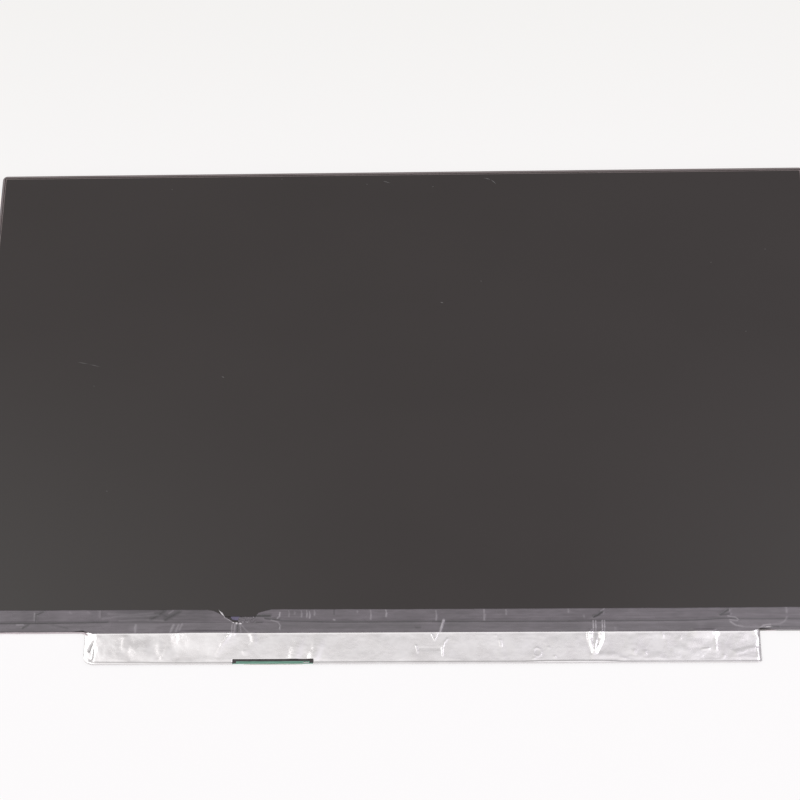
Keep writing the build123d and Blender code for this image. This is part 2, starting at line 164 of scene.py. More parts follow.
def put(tree, kind, inputs, **settings):
    """Add a node with its settings and inputs."""
    node = tree.nodes.new(kind)
    for name, value in settings.items():
        setattr(node, name, value)
    fill(tree, node, inputs)
    return node


def place(tree):
    """Where a point of the surface is, in metres."""
    return put(tree, "ShaderNodeTexCoord", {}).outputs["Object"]


def distance_along(tree, axis):
    """How far a point of the surface is along an axis, in metres."""
    return put(tree, "ShaderNodeSeparateXYZ", {"Vector": place(tree)}).outputs[axis]


def calc(tree, operation, first, second=0.0):
    """One step of arithmetic; each number is a plain value or another node's output."""
    return put(tree, "ShaderNodeMath", {0: first, 1: second}, operation=operation).outputs[0]


def tint(tree, amount, dark, light, low=0.3, high=0.7):
    """A colour that goes from dark to light as an amount goes from low to high."""
    ramp = put(tree, "ShaderNodeValToRGB", {"Fac": amount})
    first, last = ramp.color_ramp.elements
    first.position = low
    last.position = high
    first.color = (*dark, 1.0)
    last.color = (*light, 1.0)
    return ramp.outputs["Color"]


def span(tree, amount, start, end, low=0.3, high=0.7):
    """A number that goes from start to end as an amount goes from low to high."""
    inputs = {"Value": amount, "From Min": low, "From Max": high, "To Min": start, "To Max": end}
    return put(tree, "ShaderNodeMapRange", inputs).outputs["Result"]


# %% [markdown]
# ## The table
# The panel lies on a white table that runs out of sight, and its colour is painted a little darker behind the
# panel, a painted shade. A plain white plane under plain light would come out light grey, and more light
# would bleach the panel. So the table glows for the camera and for reflections only, found with the Light
# Path node, and the rest of its colour still comes from the lamps, which keeps the panel's shadow on it.

# %% Table
table_reach = 20.0
table_glow = 0.82
table_near = (0.995, 0.980, 0.986)
# Painted shade: the table's colour is darker behind the panel
table_far = (0.912, 0.903, 0.887)
table_fade = (0.0, 0.20)
corners = [(-table_reach, -table_reach, 0), (table_reach, -table_reach, 0)]
corners += [(table_reach, table_reach, 0), (-table_reach, table_reach, 0)]
table_mesh = bpy.data.meshes.new("table")
table_mesh.from_pydata(corners, [], [(0, 1, 2, 3)])
table = bpy.data.objects.new("table", table_mesh)
scene.collection.objects.link(table)

table_finish, tree, shader = start_finish("table_white")
tree.nodes.remove(shader)
table_tint = tint(tree, distance_along(tree, "Y"), table_near, table_far, *table_fade)
paper = put(tree, "ShaderNodeBsdfDiffuse", {"Color": table_tint})
glow = put(tree, "ShaderNodeEmission", {"Color": table_tint})
path = put(tree, "ShaderNodeLightPath", {})
seen = calc(tree, "MAXIMUM", path.outputs["Is Camera Ray"], path.outputs["Is Glossy Ray"])
seen = calc(tree, "MAXIMUM", seen, path.outputs["Is Transmission Ray"])
share = calc(tree, "MULTIPLY", seen, table_glow)
blend = put(tree, "ShaderNodeMixShader", {0: share, 1: paper.outputs[0], 2: glow.outputs[0]})
tree.links.new(blend.outputs[0], tree.nodes["Material Output"].inputs["Surface"])
table_mesh.materials.append(table_finish)
print("table", 2 * table_reach, "m wide")

# %% [markdown]
# ## Sky and lamps
# A matt black screen and a sheet of bright foil show their surroundings more than their own colour. The
# room is a pale ceiling that is brightest above the viewer and dims towards the walls, drawn with a gradient
# in the world, and a soft lamp stands high on either side. A fold that leans towards a lamp or towards the
# viewer flashes white, and flat foil shows only the dimmer ceiling behind the panel, which is what makes
# creases read as creases.

# %% Sky and lamps
bright_side = Vector((0.0, -0.35, 0.94)).normalized()
wall = 0.45
ceiling = 0.70
bright_patch = 0.42
ceiling_lean = 0.75
left_tint = (1.0, 0.985, 0.980)
right_tint = (0.985, 0.962, 1.0)
tint_reach = (0.0, 0.2)
world = bpy.data.worlds.new("room")
world.use_nodes = True
scene.world = world
tree = world.node_tree
toward = put(tree, "ShaderNodeTexCoord", {}).outputs["Generated"]
lean = put(tree, "ShaderNodeVectorMath", {0: toward, 1: bright_side}, operation="DOT_PRODUCT")
lean = lean.outputs["Value"]
even_light = span(tree, lean, wall, ceiling, low=0.0, high=ceiling_lean)
patch_light = span(tree, lean, 0.0, bright_patch, low=ceiling_lean, high=1.0)
room_light = calc(tree, "ADD", even_light, patch_light)
across = put(tree, "ShaderNodeSeparateXYZ", {"Vector": toward}).outputs["X"]
room_tint = tint(tree, across, left_tint, right_tint, *tint_reach)
fill(tree, tree.nodes["Background"], {"Color": room_tint, "Strength": room_light})

# Each lamp: name, direction from the panel, brightness and tint
lamp_distance = 1.7
lamp_side = 0.7
lamps = (
    ("left_lamp", (-0.60, 0.10, 0.79), 1.96, (1.0, 0.985, 0.98)),
    ("right_lamp", (0.62, 0.05, 0.78), 2.61, (0.98, 0.94, 1.0)),
)
for name, direction, brightness, lamp_tint in lamps:
    lamp = bpy.data.lights.new(name, "AREA")
    lamp.shape = "SQUARE"
    lamp.size = lamp_side
    lamp.energy = brightness * math.pi * lamp_side * lamp_side
    lamp.color = lamp_tint
    holder = bpy.data.objects.new(name, lamp)
    aim = Vector(direction).normalized()
    holder.location = aim * lamp_distance
    holder.rotation_euler = aim.to_track_quat("Z", "Y").to_euler()
    scene.collection.objects.link(holder)
    print(name, "gives", round(lamp.energy, 2), "W")

# %% [markdown]
# ## Small tools for surfaces
# No real surface is one flat colour. Its unevenness is a cloud of noise at a known size, which becomes a
# colour, a roughness or a relief too fine to model. An image could do the same, but it would need a file and
# a layout on every piece, and a cloud is measured in millimetres and fits them all.


# %% Tools for surfaces
def cloud(tree, size, stretch=(1, 1, 1), detail=3.0):
    """Soft noise with patches about size millimetres wide, drawn out along an axis by stretch."""
    scale = [1 / (size * MM * part) for part in stretch]
    spread = put(tree, "ShaderNodeMapping", {"Vector": place(tree), "Scale": scale}).outputs["Vector"]
    noise = put(tree, "ShaderNodeTexNoise", {"Vector": spread, "Scale": 1.0, "Detail": detail})
    return noise.outputs["Fac"]


def relief(tree, height, depth, **below):
    """Hills of depth millimetres, too fine to model; Normal=another relief lays them on that one."""
    inputs = {"Height": height, "Distance": depth * MM, **below}
    return put(tree, "ShaderNodeBump", inputs).outputs["Normal"]


def mix_tint(tree, amount, first, second):
    """A blend of two colours by an amount."""
    mixed = put(tree, "ShaderNodeMix", {0: amount, 6: first, 7: second}, data_type="RGBA")
    return mixed.outputs[2]


def coat(tree, shader, colour, roughness, normal, **others):
    """Set on the shader what every finish has, and what only this one has."""
    fill(tree, shader, {"Base Color": colour, "Roughness": roughness, "Normal": normal, **others})


def dress(finish, *nodes):
    """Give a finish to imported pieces."""
    for node in nodes:
        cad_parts[node].data.materials.clear()
        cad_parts[node].data.materials.append(finish)
    print(finish.name, "on", ", ".join(nodes))


# %% [markdown]
# ## The screen
# The screen's front is a polarising film with an anti-glare skin: nearly black below, with a fine matt grain
# that spreads the ceiling's reflection into an even charcoal. The film could be a plain dark grey, but then
# it would look painted. A dark base with the film's own gloss and a grain of a few hundredths of a
# millimetre gives the same grey and lets it brighten softly towards the lamps. Its colour is also painted
# paler towards the two lower corners, a painted sheen.


# %% Screen finish
# The painted sheen, in metres: where it is thinnest along X, how far to the sides it grows, and its rows
# along Y
sheen_middle = 0.03
sheen_reach = (0.03, 0.19)
sheen_rows = (-0.085, 0.03)


def screen_finish():
    """Charcoal anti-glare film."""
    finish, tree, shader = start_finish("anti_glare_film")
    smear = cloud(tree, 40, stretch=(2, 1, 1))
    sparkle = cloud(tree, 0.25, detail=1.0)
    aside = calc(tree, "SUBTRACT", distance_along(tree, "X"), sheen_middle)
    ends = span(tree, calc(tree, "ABSOLUTE", aside), 0.0, 1.0, *sheen_reach)
    lower = span(tree, distance_along(tree, "Y"), 1.0, 0.0, *sheen_rows)
    painted_sheen = calc(tree, "MULTIPLY", ends, lower)
    film = tint(tree, smear, (0.0255, 0.0200, 0.0186), (0.0290, 0.0230, 0.0216))
    # Painted sheen: the film's colour is paler towards the two lower corners
    colour = mix_tint(tree, painted_sheen, film, (0.046, 0.042, 0.039, 1.0))
    coat(tree, shader, colour, span(tree, smear, 0.46, 0.52), relief(tree, sparkle, 0.004), IOR=1.49)
    return finish


dress(screen_finish(), "front_polariser")

# %% [markdown]
# ## The frame and the back
# The frame is moulded black plastic with a satin face, and its thin rim is all that shows of it. The back is
# one folded aluminium sheet, rolled and left bare, with faint rolling lines along its length and a few dull
# patches from handling. Both are clouds of noise: the plastic's are round and small, and the metal's are
# drawn out along the sheet.


# %% Frame and back finishes
def frame_finish():
    """Satin black moulded plastic, rubbed paler in places."""
    finish, tree, shader = start_finish("satin_frame_plastic")
    rub = cloud(tree, 9, stretch=(3, 1, 1))
    texture = cloud(tree, 0.35, detail=2.0)
    colour = tint(tree, rub, (0.165, 0.140, 0.138), (0.220, 0.190, 0.188))
    coat(tree, shader, colour, span(tree, rub, 0.38, 0.5), relief(tree, texture, 0.006))
    return finish


def cover_finish():
    """Bare rolled aluminium sheet."""
    finish, tree, shader = start_finish("rolled_aluminium")
    lines = cloud(tree, 0.4, stretch=(60, 1, 1), detail=4.0)
    handling = cloud(tree, 28)
    colour = tint(tree, handling, (0.60, 0.605, 0.615), (0.74, 0.745, 0.75))
    roughness = span(tree, handling, 0.30, 0.44)
    coat(tree, shader, colour, roughness, relief(tree, lines, 0.004), Metallic=1.0)
    return finish


dress(frame_finish(), "mould_frame")
dress(cover_finish(), "back_cover")

# %% [markdown]
# ## Pieces inside
# Most of a panel's pieces are out of sight: the light sheets, the glass, the chips and the small parts on
# the board's rear. They still get their own finish, because the panel may be taken apart by whoever uses it
# next. Each is a plain recipe of two colours, a patch size, a range of roughness and a fine relief, so one
# function with a table of recipes serves them all.


# %% Finishes of the inner pieces
def plain_finish(name, dark, light, patch, rough, depth=0.003, metallic=0.0, stretch=(1, 1, 1)):
    """Two close colours in soft patches, with roughness and a fine relief from the same patches."""
    finish, tree, shader = start_finish(name)
    patches = cloud(tree, patch, stretch)
    colour = tint(tree, patches, dark, light)
    normal = relief(tree, patches, depth)
    coat(tree, shader, colour, span(tree, patches, *rough), normal, Metallic=metallic)
    return finish


# Each recipe, in the order that plain_finish takes: two colours, patch size, roughness and what else differs
recipes = {
    "white_reflecting_film": ((0.86, 0.86, 0.86), (0.93, 0.93, 0.93), 6, (0.30, 0.40)),
    "acrylic_plate": ((0.80, 0.84, 0.84), (0.88, 0.91, 0.91), 8, (0.05, 0.12), 0.001),
    "matt_diffusing_film": ((0.84, 0.84, 0.84), (0.91, 0.91, 0.91), 0.3, (0.55, 0.70)),
    "grooved_film": ((0.74, 0.76, 0.79), (0.86, 0.88, 0.90), 0.08, (0.18, 0.30), 0.006, 0.0, (400, 1, 1)),
    "double_sided_tape": ((0.035, 0.035, 0.036), (0.06, 0.06, 0.06), 0.8, (0.55, 0.70)),
    "amber_circuit_film": ((0.34, 0.17, 0.04), (0.46, 0.25, 0.07), 2.0, (0.25, 0.35)),
    "yellow_phosphor_resin": ((0.80, 0.70, 0.24), (0.92, 0.85, 0.42), 0.3, (0.30, 0.45)),
    "dark_polarising_film": ((0.045, 0.045, 0.050), (0.065, 0.065, 0.070), 5, (0.15, 0.25)),
    "circuit_glass": ((0.20, 0.22, 0.23), (0.30, 0.33, 0.34), 0.2, (0.06, 0.14), 0.003, 0.0, (1, 30, 1)),
    "bare_silicon": ((0.10, 0.10, 0.12), (0.16, 0.16, 0.18), 0.5, (0.08, 0.16), 0.001, 0.6),
    "black_insulating_film": ((0.030, 0.026, 0.026), (0.055, 0.047, 0.047), 1.2, (0.40, 0.55)),
    "black_moulding_resin": ((0.022, 0.022, 0.023), (0.040, 0.040, 0.040), 0.2, (0.45, 0.6)),
    "pressed_ferrite": ((0.08, 0.08, 0.082), (0.15, 0.15, 0.15), 0.25, (0.50, 0.65), 0.010),
    "ivory_moulded_plastic": ((0.70, 0.67, 0.60), (0.80, 0.77, 0.70), 0.6, (0.35, 0.45)),
    "tinned_steel": ((0.54, 0.54, 0.54), (0.66, 0.66, 0.65), 0.15, (0.22, 0.35), 0.004, 1.0, (12, 1, 1)),
    "gold_plated_bronze": ((0.78, 0.56, 0.22), (0.90, 0.70, 0.34), 0.2, (0.18, 0.28), 0.002, 1.0),
}
link_films = [f"link_film_{number}" for number in range(1, 5)]
wearers = {
    "white_reflecting_film": ["reflector_sheet"],
    "acrylic_plate": ["light_guide"],
    "matt_diffusing_film": ["diffuser_sheet"],
    "grooved_film": ["lower_prism_sheet", "upper_prism_sheet"],
    "double_sided_tape": ["light_bar_tape", "rim_tape"],
    "amber_circuit_film": ["light_bar_flex", *link_films],
    "yellow_phosphor_resin": ["light_emitters"],
    "dark_polarising_film": ["rear_polariser"],
    "circuit_glass": ["array_glass"],
    "bare_silicon": [f"source_driver_{number}" for number in range(1, 5)],
    "black_insulating_film": ["insulating_film"],
    "black_moulding_resin": ["timing_controller", "power_chip", "backlight_driver", "memory_chip"],
    "pressed_ferrite": ["power_inductor_1", "power_inductor_2"],
    "ivory_moulded_plastic": ["connector_housing"],
    "tinned_steel": ["connector_shell"],
    "gold_plated_bronze": ["connector_contacts"],
}
inner_finishes = {name: plain_finish(name, *recipe) for name, recipe in recipes.items()}
for name, nodes in wearers.items():
    dress(inner_finishes[name], *nodes)

# %% [markdown]
# ## The filter glass
# The front glass is a little larger than the film on it, so a hair of it shows all round. Its border has a
# brown print on three sides, and that brown is painted lighter, a painted light that makes up for the shade
# in the narrow gap beside the film. Along the lower edge the print stops and the bare filter shows purple,
# which is only seen where the tape is torn. One finish does both: it changes at the film's lower edge.


# %% Filter glass finish
def filter_finish():
    """Dark glass with a brown print round three sides, painted lighter as painted light, and purple along the
    lower edge.
    """
    finish, tree, shader = start_finish("dark_filter_glass")
    patches = cloud(tree, 0.6)
    # Painted light: the brown border is lighter to make up for the shade in the narrow gap
    printed_and_lit = tint(tree, patches, (0.235, 0.196, 0.190), (0.285, 0.240, 0.234))
    bare = tint(tree, patches, (0.120, 0.104, 0.175), (0.160, 0.140, 0.225))
    below_film = span(tree, distance_along(tree, "Y"), 1.0, 0.0, screen_low.y, screen_low.y + MM)
    colour = mix_tint(tree, below_film, printed_and_lit, bare)
    coat(tree, shader, colour, span(tree, patches, 0.12, 0.22), relief(tree, patches, 0.003))
    return finish


dress(filter_finish(), "filter_glass")

# %% [markdown]
# ## The board and its smallest parts
# The board is glass fibre under green solder mask, and thin copper tracks lift the mask into paler lines.
# A strip of it shows through the slot in the foil. The smallest parts, capacitors and resistors, are
# ceramic bodies with tinned ends. Their solids repeat at an even pitch, so the tinned ends are painted by
# place: the distance along X starts again at every part, and what is far from the part's middle is tin.


# %% Board finish
def board_finish():
    """Green solder mask with faint tracks."""
    finish, tree, shader = start_finish("green_solder_mask")
    waves = {"Vector": place(tree), "Scale": 420.0, "Distortion": 7.0, "Detail": 2.0, "Detail Scale": 0.4}
    tracks = put(tree, "ShaderNodeTexWave", waves, bands_direction="Y").outputs["Fac"]
    patches = cloud(tree, 3)
    mask = tint(tree, patches, (0.105, 0.250, 0.182), (0.155, 0.330, 0.252))
    lines = tint(tree, tracks, (0.0, 0.0, 0.0), (1.0, 1.0, 1.0), 0.72, 0.86)
    colour = mix_tint(tree, lines, mask, (0.20, 0.40, 0.31, 1.0))
    coat(tree, shader, colour, span(tree, patches, 0.28, 0.42), relief(tree, tracks, 0.01))
    return finish


# The gap between parts of a row in millimetres, and where their tin begins, as shares of a part's length
part_gap = 1.4
tin_edge = (0.24, 0.27)


def tinned_finish(name, node, body_dark, body_light, length):
    """Ceramic bodies with tinned ends, for a row of parts that share one node."""
    finish, tree, shader = start_finish(name)
    from_first = calc(tree, "SUBTRACT", distance_along(tree, "X"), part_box(node)[0].x)
    on_part = calc(tree, "FLOORED_MODULO", from_first, (length + part_gap) * MM)
    from_middle = calc(tree, "ABSOLUTE", calc(tree, "SUBTRACT", on_part, length / 2 * MM))
    tin = span(tree, from_middle, 0.0, 1.0, *[share * length * MM for share in tin_edge])
    grain = cloud(tree, 0.2)
    body = tint(tree, grain, body_dark, body_light)
    colour = mix_tint(tree, tin, body, (0.66, 0.66, 0.65, 1.0))
    coat(tree, shader, colour, span(tree, grain, 0.30, 0.42), relief(tree, grain, 0.004), Metallic=tin)
    return finish


dress(board_finish(), "control_board")
small_parts = (
    ("tan_capacitors", "ceramic_capacitors", (0.42, 0.30, 0.19), (0.56, 0.43, 0.30), 1.6),
    ("black_resistors", "chip_resistors", (0.03, 0.03, 0.03), (0.06, 0.06, 0.06), 1.0),
)
for name, node, dark, light, length in small_parts:
    dress(tinned_finish(name, node, dark, light, length), node)

# %% [markdown]
# ## Creases as numbers
# Foil and tape keep every fold that was ever pressed into them. A cloth simulation could crumple a sheet,
# but the folds would land anywhere. Here each fold has a known place, so the sheet is a fine grid whose
# points are lifted by a list of creases: a line from one place to another, a rise in millimetres and a half
# width over which it fades. A crease can be sharp, like a pressed fold, flat on both flanks, like a tent,
# or round, like a swelling. A film can't sink into what it lies on, so a dark furrow is a sunk line
# between two low banks. Smooth random hills, drawn from a fixed seed, add the unevenness in between.


# %% Tools for creases
# How a crease falls off from its line to its foot: the power of the gap, and the power of what is left
SHARP = (1.0, 2.0)
TENT = (1.0, 1.15)
ROUND = (2.0, 2.0)
swelling_power = 0.6


def ease(share):
    """A smooth step from 0 to 1."""
    share = np.clip(share, 0.0, 1.0)
    return share * share * (3.0 - 2.0 * share)


def lift(x, down, creases, profile=SHARP):
    """How far creases lift a sheet: where they meet, the highest rise and the deepest dip count."""
    gap_power, fade_power = profile
    rises = np.zeros_like(x)
    dips = np.zeros_like(x)
    for x0, down0, x1, down1, height, half_width in creases:
        run = max((x1 - x0) ** 2 + (down1 - down0) ** 2, 1e-9)
        along = np.clip(((x - x0) * (x1 - x0) + (down - down0) * (down1 - down0)) / run, 0.0, 1.0)
        gap = np.hypot(x - x0 - along * (x1 - x0), down - down0 - along * (down1 - down0)) / half_width
        shape = height * np.clip(1.0 - gap**gap_power, 0.0, 1.0) ** fade_power
        rises = np.maximum(rises, shape)
        dips = np.minimum(dips, shape)
    return rises + dips


def chain(points, height, half_width):
    """Creases that follow a line of points."""
    return [(*start, *end, height, half_width) for start, end in zip(points, points[1:])]


def swelling(top, foot, rise, half_width, steps=8):
    """Creases along a straight line that rise from nothing at its top, quickly at first."""
    shares = np.linspace(0.0, 1.0, steps + 1)
    run = (foot[0] - top[0], foot[1] - top[1])
    places = [(top[0] + run[0] * share, top[1] + run[1] * share) for share in shares]
    grown = zip(places, places[1:], shares[1:])
    return [(*start, *end, rise * share**swelling_power, half_width) for start, end, share in grown]


# %% [markdown]
# ## The foil
# The foil is folded round the board: it starts under the tape, lies over the board, turns down round its
# lower edge and comes back a little way below. Seen from the side that is one bent line, so the sheet is
# that line swept along the board, one row of points for each step along the line. Past the board's ends the
# two layers are pinched together. First come the creases, which are pressed into the part that lies on the
# board: a list of places and rises says where the foil was gripped, better than any noise could.

# %% Foil creases
# Places are millimetres from the panel's middle, and millimetres below the tape's lower edge
foil_folds = [
    (-59.9, 0.0, -60.7, 1.3, 0.34, 0.9),
    (-58.5, -0.1, -58.9, 0.6, 0.30, 0.7),
    (6.0, 4.9, 6.6, 7.4, 0.12, 0.5),
    (34.1, 1.3, 34.2, 1.6, 0.14, 0.5),
    (35.8, 3.1, 36.1, 5.2, 0.20, 0.55),
    (53.0, 5.8, 53.1, 6.0, 0.12, 0.6),
    (54.9, 9.0, 55.0, 9.4, 0.15, 0.6),
    (47.2, 10.5, 48.0, 9.5, 0.18, 0.6),
    (93.0, 0.9, 93.2, 2.2, 0.12, 0.7),
    (99.4, 2.2, 99.4, 2.9, 0.12, 0.6),
    (82.8, 7.3, 82.9, 7.9, 0.15, 1.0),
    (86.7, 7.6, 86.8, 8.2, 0.15, 1.0),
    (107.1, 6.7, 109.2, 6.5, 0.15, 0.6),
    (114.0, 8.9, 114.0, 9.8, 0.10, 0.7),
]
foil_folds += chain([(-59.6, -0.2), (-60.6, 1.2), (-63.1, 4.8)], 0.17, 1.0)
foil_folds += chain([(-63.1, 4.8), (-64.5, 8.1)], 0.10, 1.0)
foil_folds += chain([(11.6, 0.8), (12.6, 3.0), (13.7, 0.2)], 0.145, 0.45)
foil_folds += chain([(17.1, 2.6), (15.9, 4.0), (15.3, 6.0), (15.4, 8.5)], 0.14, 0.52)
foil_folds += chain([(112.6, 1.2), (111.7, 2.3), (111.7, 7.0)], 0.12, 0.7)
ring_turns = [math.radians(45 * step) for step in range(9)]
ring = [(48.8 + 1.4 * math.cos(turn), 7.5 + 1.6 * math.sin(turn)) for turn in ring_turns]
foil_folds += chain(ring, 0.13, 0.5)
# Two arms of a pucker that meet below
foil_folds += chain([(67.4, -0.3), (67.5, 2.6), (68.2, 5.0), (68.9, 7.0)], 0.42, 1.4)
foil_folds += chain([(71.6, -0.3), (71.5, 2.6), (70.7, 4.8), (69.4, 7.0)], 0.36, 1.2)
foil_folds += swelling((69.6, 2.4), (69.1, 7.0), 0.50, 1.6)
# Round swells, under and between the folds
foil_swells = [
    (-103.0, 7.8, -100.5, 8.2, 0.06, 3.0),
    (-93.0, 6.4, -91.0, 6.4, 0.19, 4.2),
    (-73.5, -0.5, -65.0, -0.5, 0.66, 9.5),
    (-97.5, 1.8, -97.8, 5.2, 0.08, 1.9),
    (-85.2, 4.2, -85.1, 7.4, 0.08, 1.5),
    (-82.2, 6.2, -84.1, 9.4, 0.08, 1.4),
    (-108.7, 5.8, -109.9, 9.8, -0.30, 1.4),
    (125.3, 0.2, 127.2, 3.4, 0.18, 1.3),
    (126.3, 6.5, 126.5, 9.8, 0.10, 1.0),
    (105.5, 0.0, 110.5, 0.0, 0.40, 3.0),
    (118.6, 7.8, 125.1, 6.3, 0.12, 1.4),
    (7.3, 6.3, 14.2, 6.2, -0.10, 0.8),
    (98.0, 4.6, 100.5, 5.4, -0.06, 2.2),
]
foil_swells += chain([(68.6, 8.6), (76.4, 8.7), (79.0, 10.3)], 0.12, 1.6)
# The soft right arm of the loop under the tear
foil_swells += chain([(-52.9, -0.2), (-52.0, 1.2), (-51.6, 3.4)], 0.18, 1.6)
foil_swells += chain([(-51.6, 3.4), (-52.7, 5.5), (-54.6, 7.2)], 0.11, 1.6)
# Two fans that rise and widen towards the slot
foil_swells += swelling((-35.0, 1.4), (-37.5, 9.8), 0.31, 2.8)
foil_swells += swelling((-28.0, 2.6), (-30.5, 9.8), 0.35, 2.8)
# A slanted dent in the left end, wider at its foot
foil_folds += [(-109.2, 2.8, -109.7, 4.2, -0.24, 0.45), (-109.7, 4.2, -110.2, 5.6, -0.42, 0.7)]
foil_folds += [(-110.2, 5.6, -110.5, 6.6, -0.62, 0.95)]
# Thin pleats in the pucker
foil_dents = [
    (66.9, 0.3, 67.2, 5.0, -0.08, 0.3),
    (68.1, 0.3, 68.3, 4.0, -0.08, 0.3),
    (71.9, 0.3, 71.8, 3.6, -0.07, 0.3),
]
# Where the foil is painted grey, a painted shade: the share, and the half width over which it fades
foil_shades = [
    (-109.3, 3.0, -109.8, 4.6, 0.70, 0.5),
    (-109.8, 4.6, -110.2, 6.3, 0.90, 0.8),
    (-108.7, 7.0, -109.2, 10.0, 0.22, 0.8),
    (126.6, 3.4, 126.9, 5.4, 0.45, 0.5),
    (-96.5, 3.2, -90.0, 7.0, 0.10, 3.4),
    (-51.3, 4.6, -53.2, 7.0, 0.12, 1.2),
    (7.3, 6.3, 14.2, 6.2, 0.16, 0.9),
    (36.0, 8.6, 48.0, 8.2, 0.10, 1.3),
    (69.7, 0.4, 69.7, 4.0, 0.20, 0.7),
    (98.2, 3.6, 101.0, 5.6, 0.15, 1.8),
]
print(len(foil_folds), "folds,", len(foil_swells), "swells and", len(foil_dents), "dents in the foil")

# %% [markdown]
# ## How far the foil stands off
# Between its creases the foil is never flat. Three layers of smooth hills, each smaller than the last, give
# that unevenness. They are higher on the right, where the foil was handled most, and fade out past the
# board's left end, where nothing holds the foil up. On the board it can't sink, so its dips stop there.

# %% Foil relief
board_left = board_low.x / MM
board_right = board_high.x / MM
# Height, size and seed of each layer of hills
foil_hills = ((0.030, 2.4, 11), (0.014, 1.0, 12), (0.070, 6.5, 13))
rumple_start = 72.0
rumple_reach = 12.0
rumple_gain = 0.8
deepest_dip = 0.05
overhang_reach = 2.5
# Where creases and hills begin, down from the tape's edge or along from the board's end, and their fades
hidden_edge = -0.9
hidden_fade = 0.8
hill_edge = 0.2
hill_fade = 1.5
end_gap = 0.6
end_fade = 0.9


def hills(x, down, size, seed):
    """Smooth random hills about size millimetres apart, from -1 to 1."""
    across = (x - x.min()) / size
    along = (down - down.min()) / size
    i = across.astype(int)
    j = along.astype(int)
    heights = np.random.default_rng(seed).uniform(-1.0, 1.0, (j.max() + 2, i.max() + 2))
    u = ease(across - i)
    v = ease(along - j)
    near = heights[j, i] * (1 - u) + heights[j, i + 1] * u
    far = heights[j + 1, i] * (1 - u) + heights[j + 1, i + 1] * u
    return near * (1 - v) + far * v


def foil_fold(x, down):
    """How far the folds, swells and dents lift the foil; nothing is lifted at its hidden upper edge."""
    folds = lift(x, down, foil_folds, TENT) + lift(x, down, foil_dents)
    return (folds + lift(x, down, foil_swells, ROUND)) * ease((down - hidden_edge) / hidden_fade)


def foil_lift(x, down):
    """How far the foil stands off the board, its folds and hills together."""
    uneven = sum(height * hills(x, down, size, seed) for height, size, seed in foil_hills)
    rumpled = 1.0 + rumple_gain * ease((x - rumple_start) / rumple_reach)
    bumps = rumpled * uneven * ease((down - hill_edge) / hill_fade)
    bumps = bumps * ease((x - board_left + end_gap) / end_fade)
    floor = -deepest_dip - ease((board_left - x) / overhang_reach)
    return np.maximum(foil_fold(x, down) + bumps, floor)


print("foil hills up to", round(sum(height for height, _, _ in foil_hills), 3), "mm")

# %% [markdown]
# ## The foil's finish
# Kitchen-bright foil is aluminium with a soft gloss: clear enough to flash at a crease, too rough to show a
# picture. Its roughness varies where fingers have rubbed it, a mark on its points paints it grey, a painted
# shade in its dents, between its creases and in broad patches, and two reliefs of a few hundredths of a
# millimetre, one fine and one coarse, break up what would be a mirror.


# %% Foil finish
def mark(tree, name):
    """The amount of a mark that a mesh carries on its points."""
    return put(tree, "ShaderNodeAttribute", {}, attribute_name=name).outputs["Fac"]


def foil_finish():
    """Bright crumpled aluminium foil."""
    finish, tree, shader = start_finish("crumpled_foil")
    rubbed = cloud(tree, 5.0)
    crinkle = cloud(tree, 0.9, stretch=(1.6, 1, 1), detail=2.5)
    bulges = relief(tree, cloud(tree, 2.6, stretch=(1.5, 1, 1)), 0.06)
    metal = tint(tree, rubbed, (0.825, 0.802, 0.808), (0.893, 0.876, 0.880))
    # Painted shade: the shade mark mixes the foil's colour towards grey
    colour = mix_tint(tree, mark(tree, "shade"), metal, (0.30, 0.295, 0.295, 1.0))
    normal = relief(tree, crinkle, 0.024, Normal=bulges)
    coat(tree, shader, colour, span(tree, rubbed, 0.22, 0.34), normal, Metallic=1.0)
    return finish


bright_foil = foil_finish()
print(bright_foil.name, "for the foil")

# %% [markdown]
# ## Sheets from numbers
# Both sheets follow a bent line seen from the side, and both need finer steps in some stretches than in
# others. So a line is a list of rows and heights, it is walked by length, and the steps are set stretch by
# stretch. The grid becomes a mesh in one go, because adding points one by one would be slow, and a Solidify
# modifier gives it the thickness of the real film.


# %% Tools for sheets
def between(pairs, places):
    """The values at given places of a line through pairs of a place and a value."""
    return np.interp(places, *zip(*pairs))


def lengths_along(line):
    """How far each point of a bent line of rows and heights is from its start."""
    rows, heights = np.array(line).T
    return np.concatenate(([0.0], np.cumsum(np.hypot(np.diff(rows), np.diff(heights)))))


def follow(line, lengths):
    """Rows and heights at given lengths along a bent line."""
    rows, heights = np.array(line).T
    return np.interp(lengths, lengths_along(line), rows), np.interp(lengths, lengths_along(line), heights)


def stations(breaks, steps):
    """Places from the first break to the last that include every break, with a step for each stretch."""
    places = []
    for start, end, step in zip(breaks, breaks[1:], steps):
        count = max(1, round((end - start) / step))
        places.extend(start + (end - start) * np.arange(count) / count)
    return np.array([*places, breaks[-1]])


def all_cells(rows):
    """A mask that keeps every cell of a grid of points."""
    return np.ones((rows.shape[0] - 1, rows.shape[1] - 1), bool)


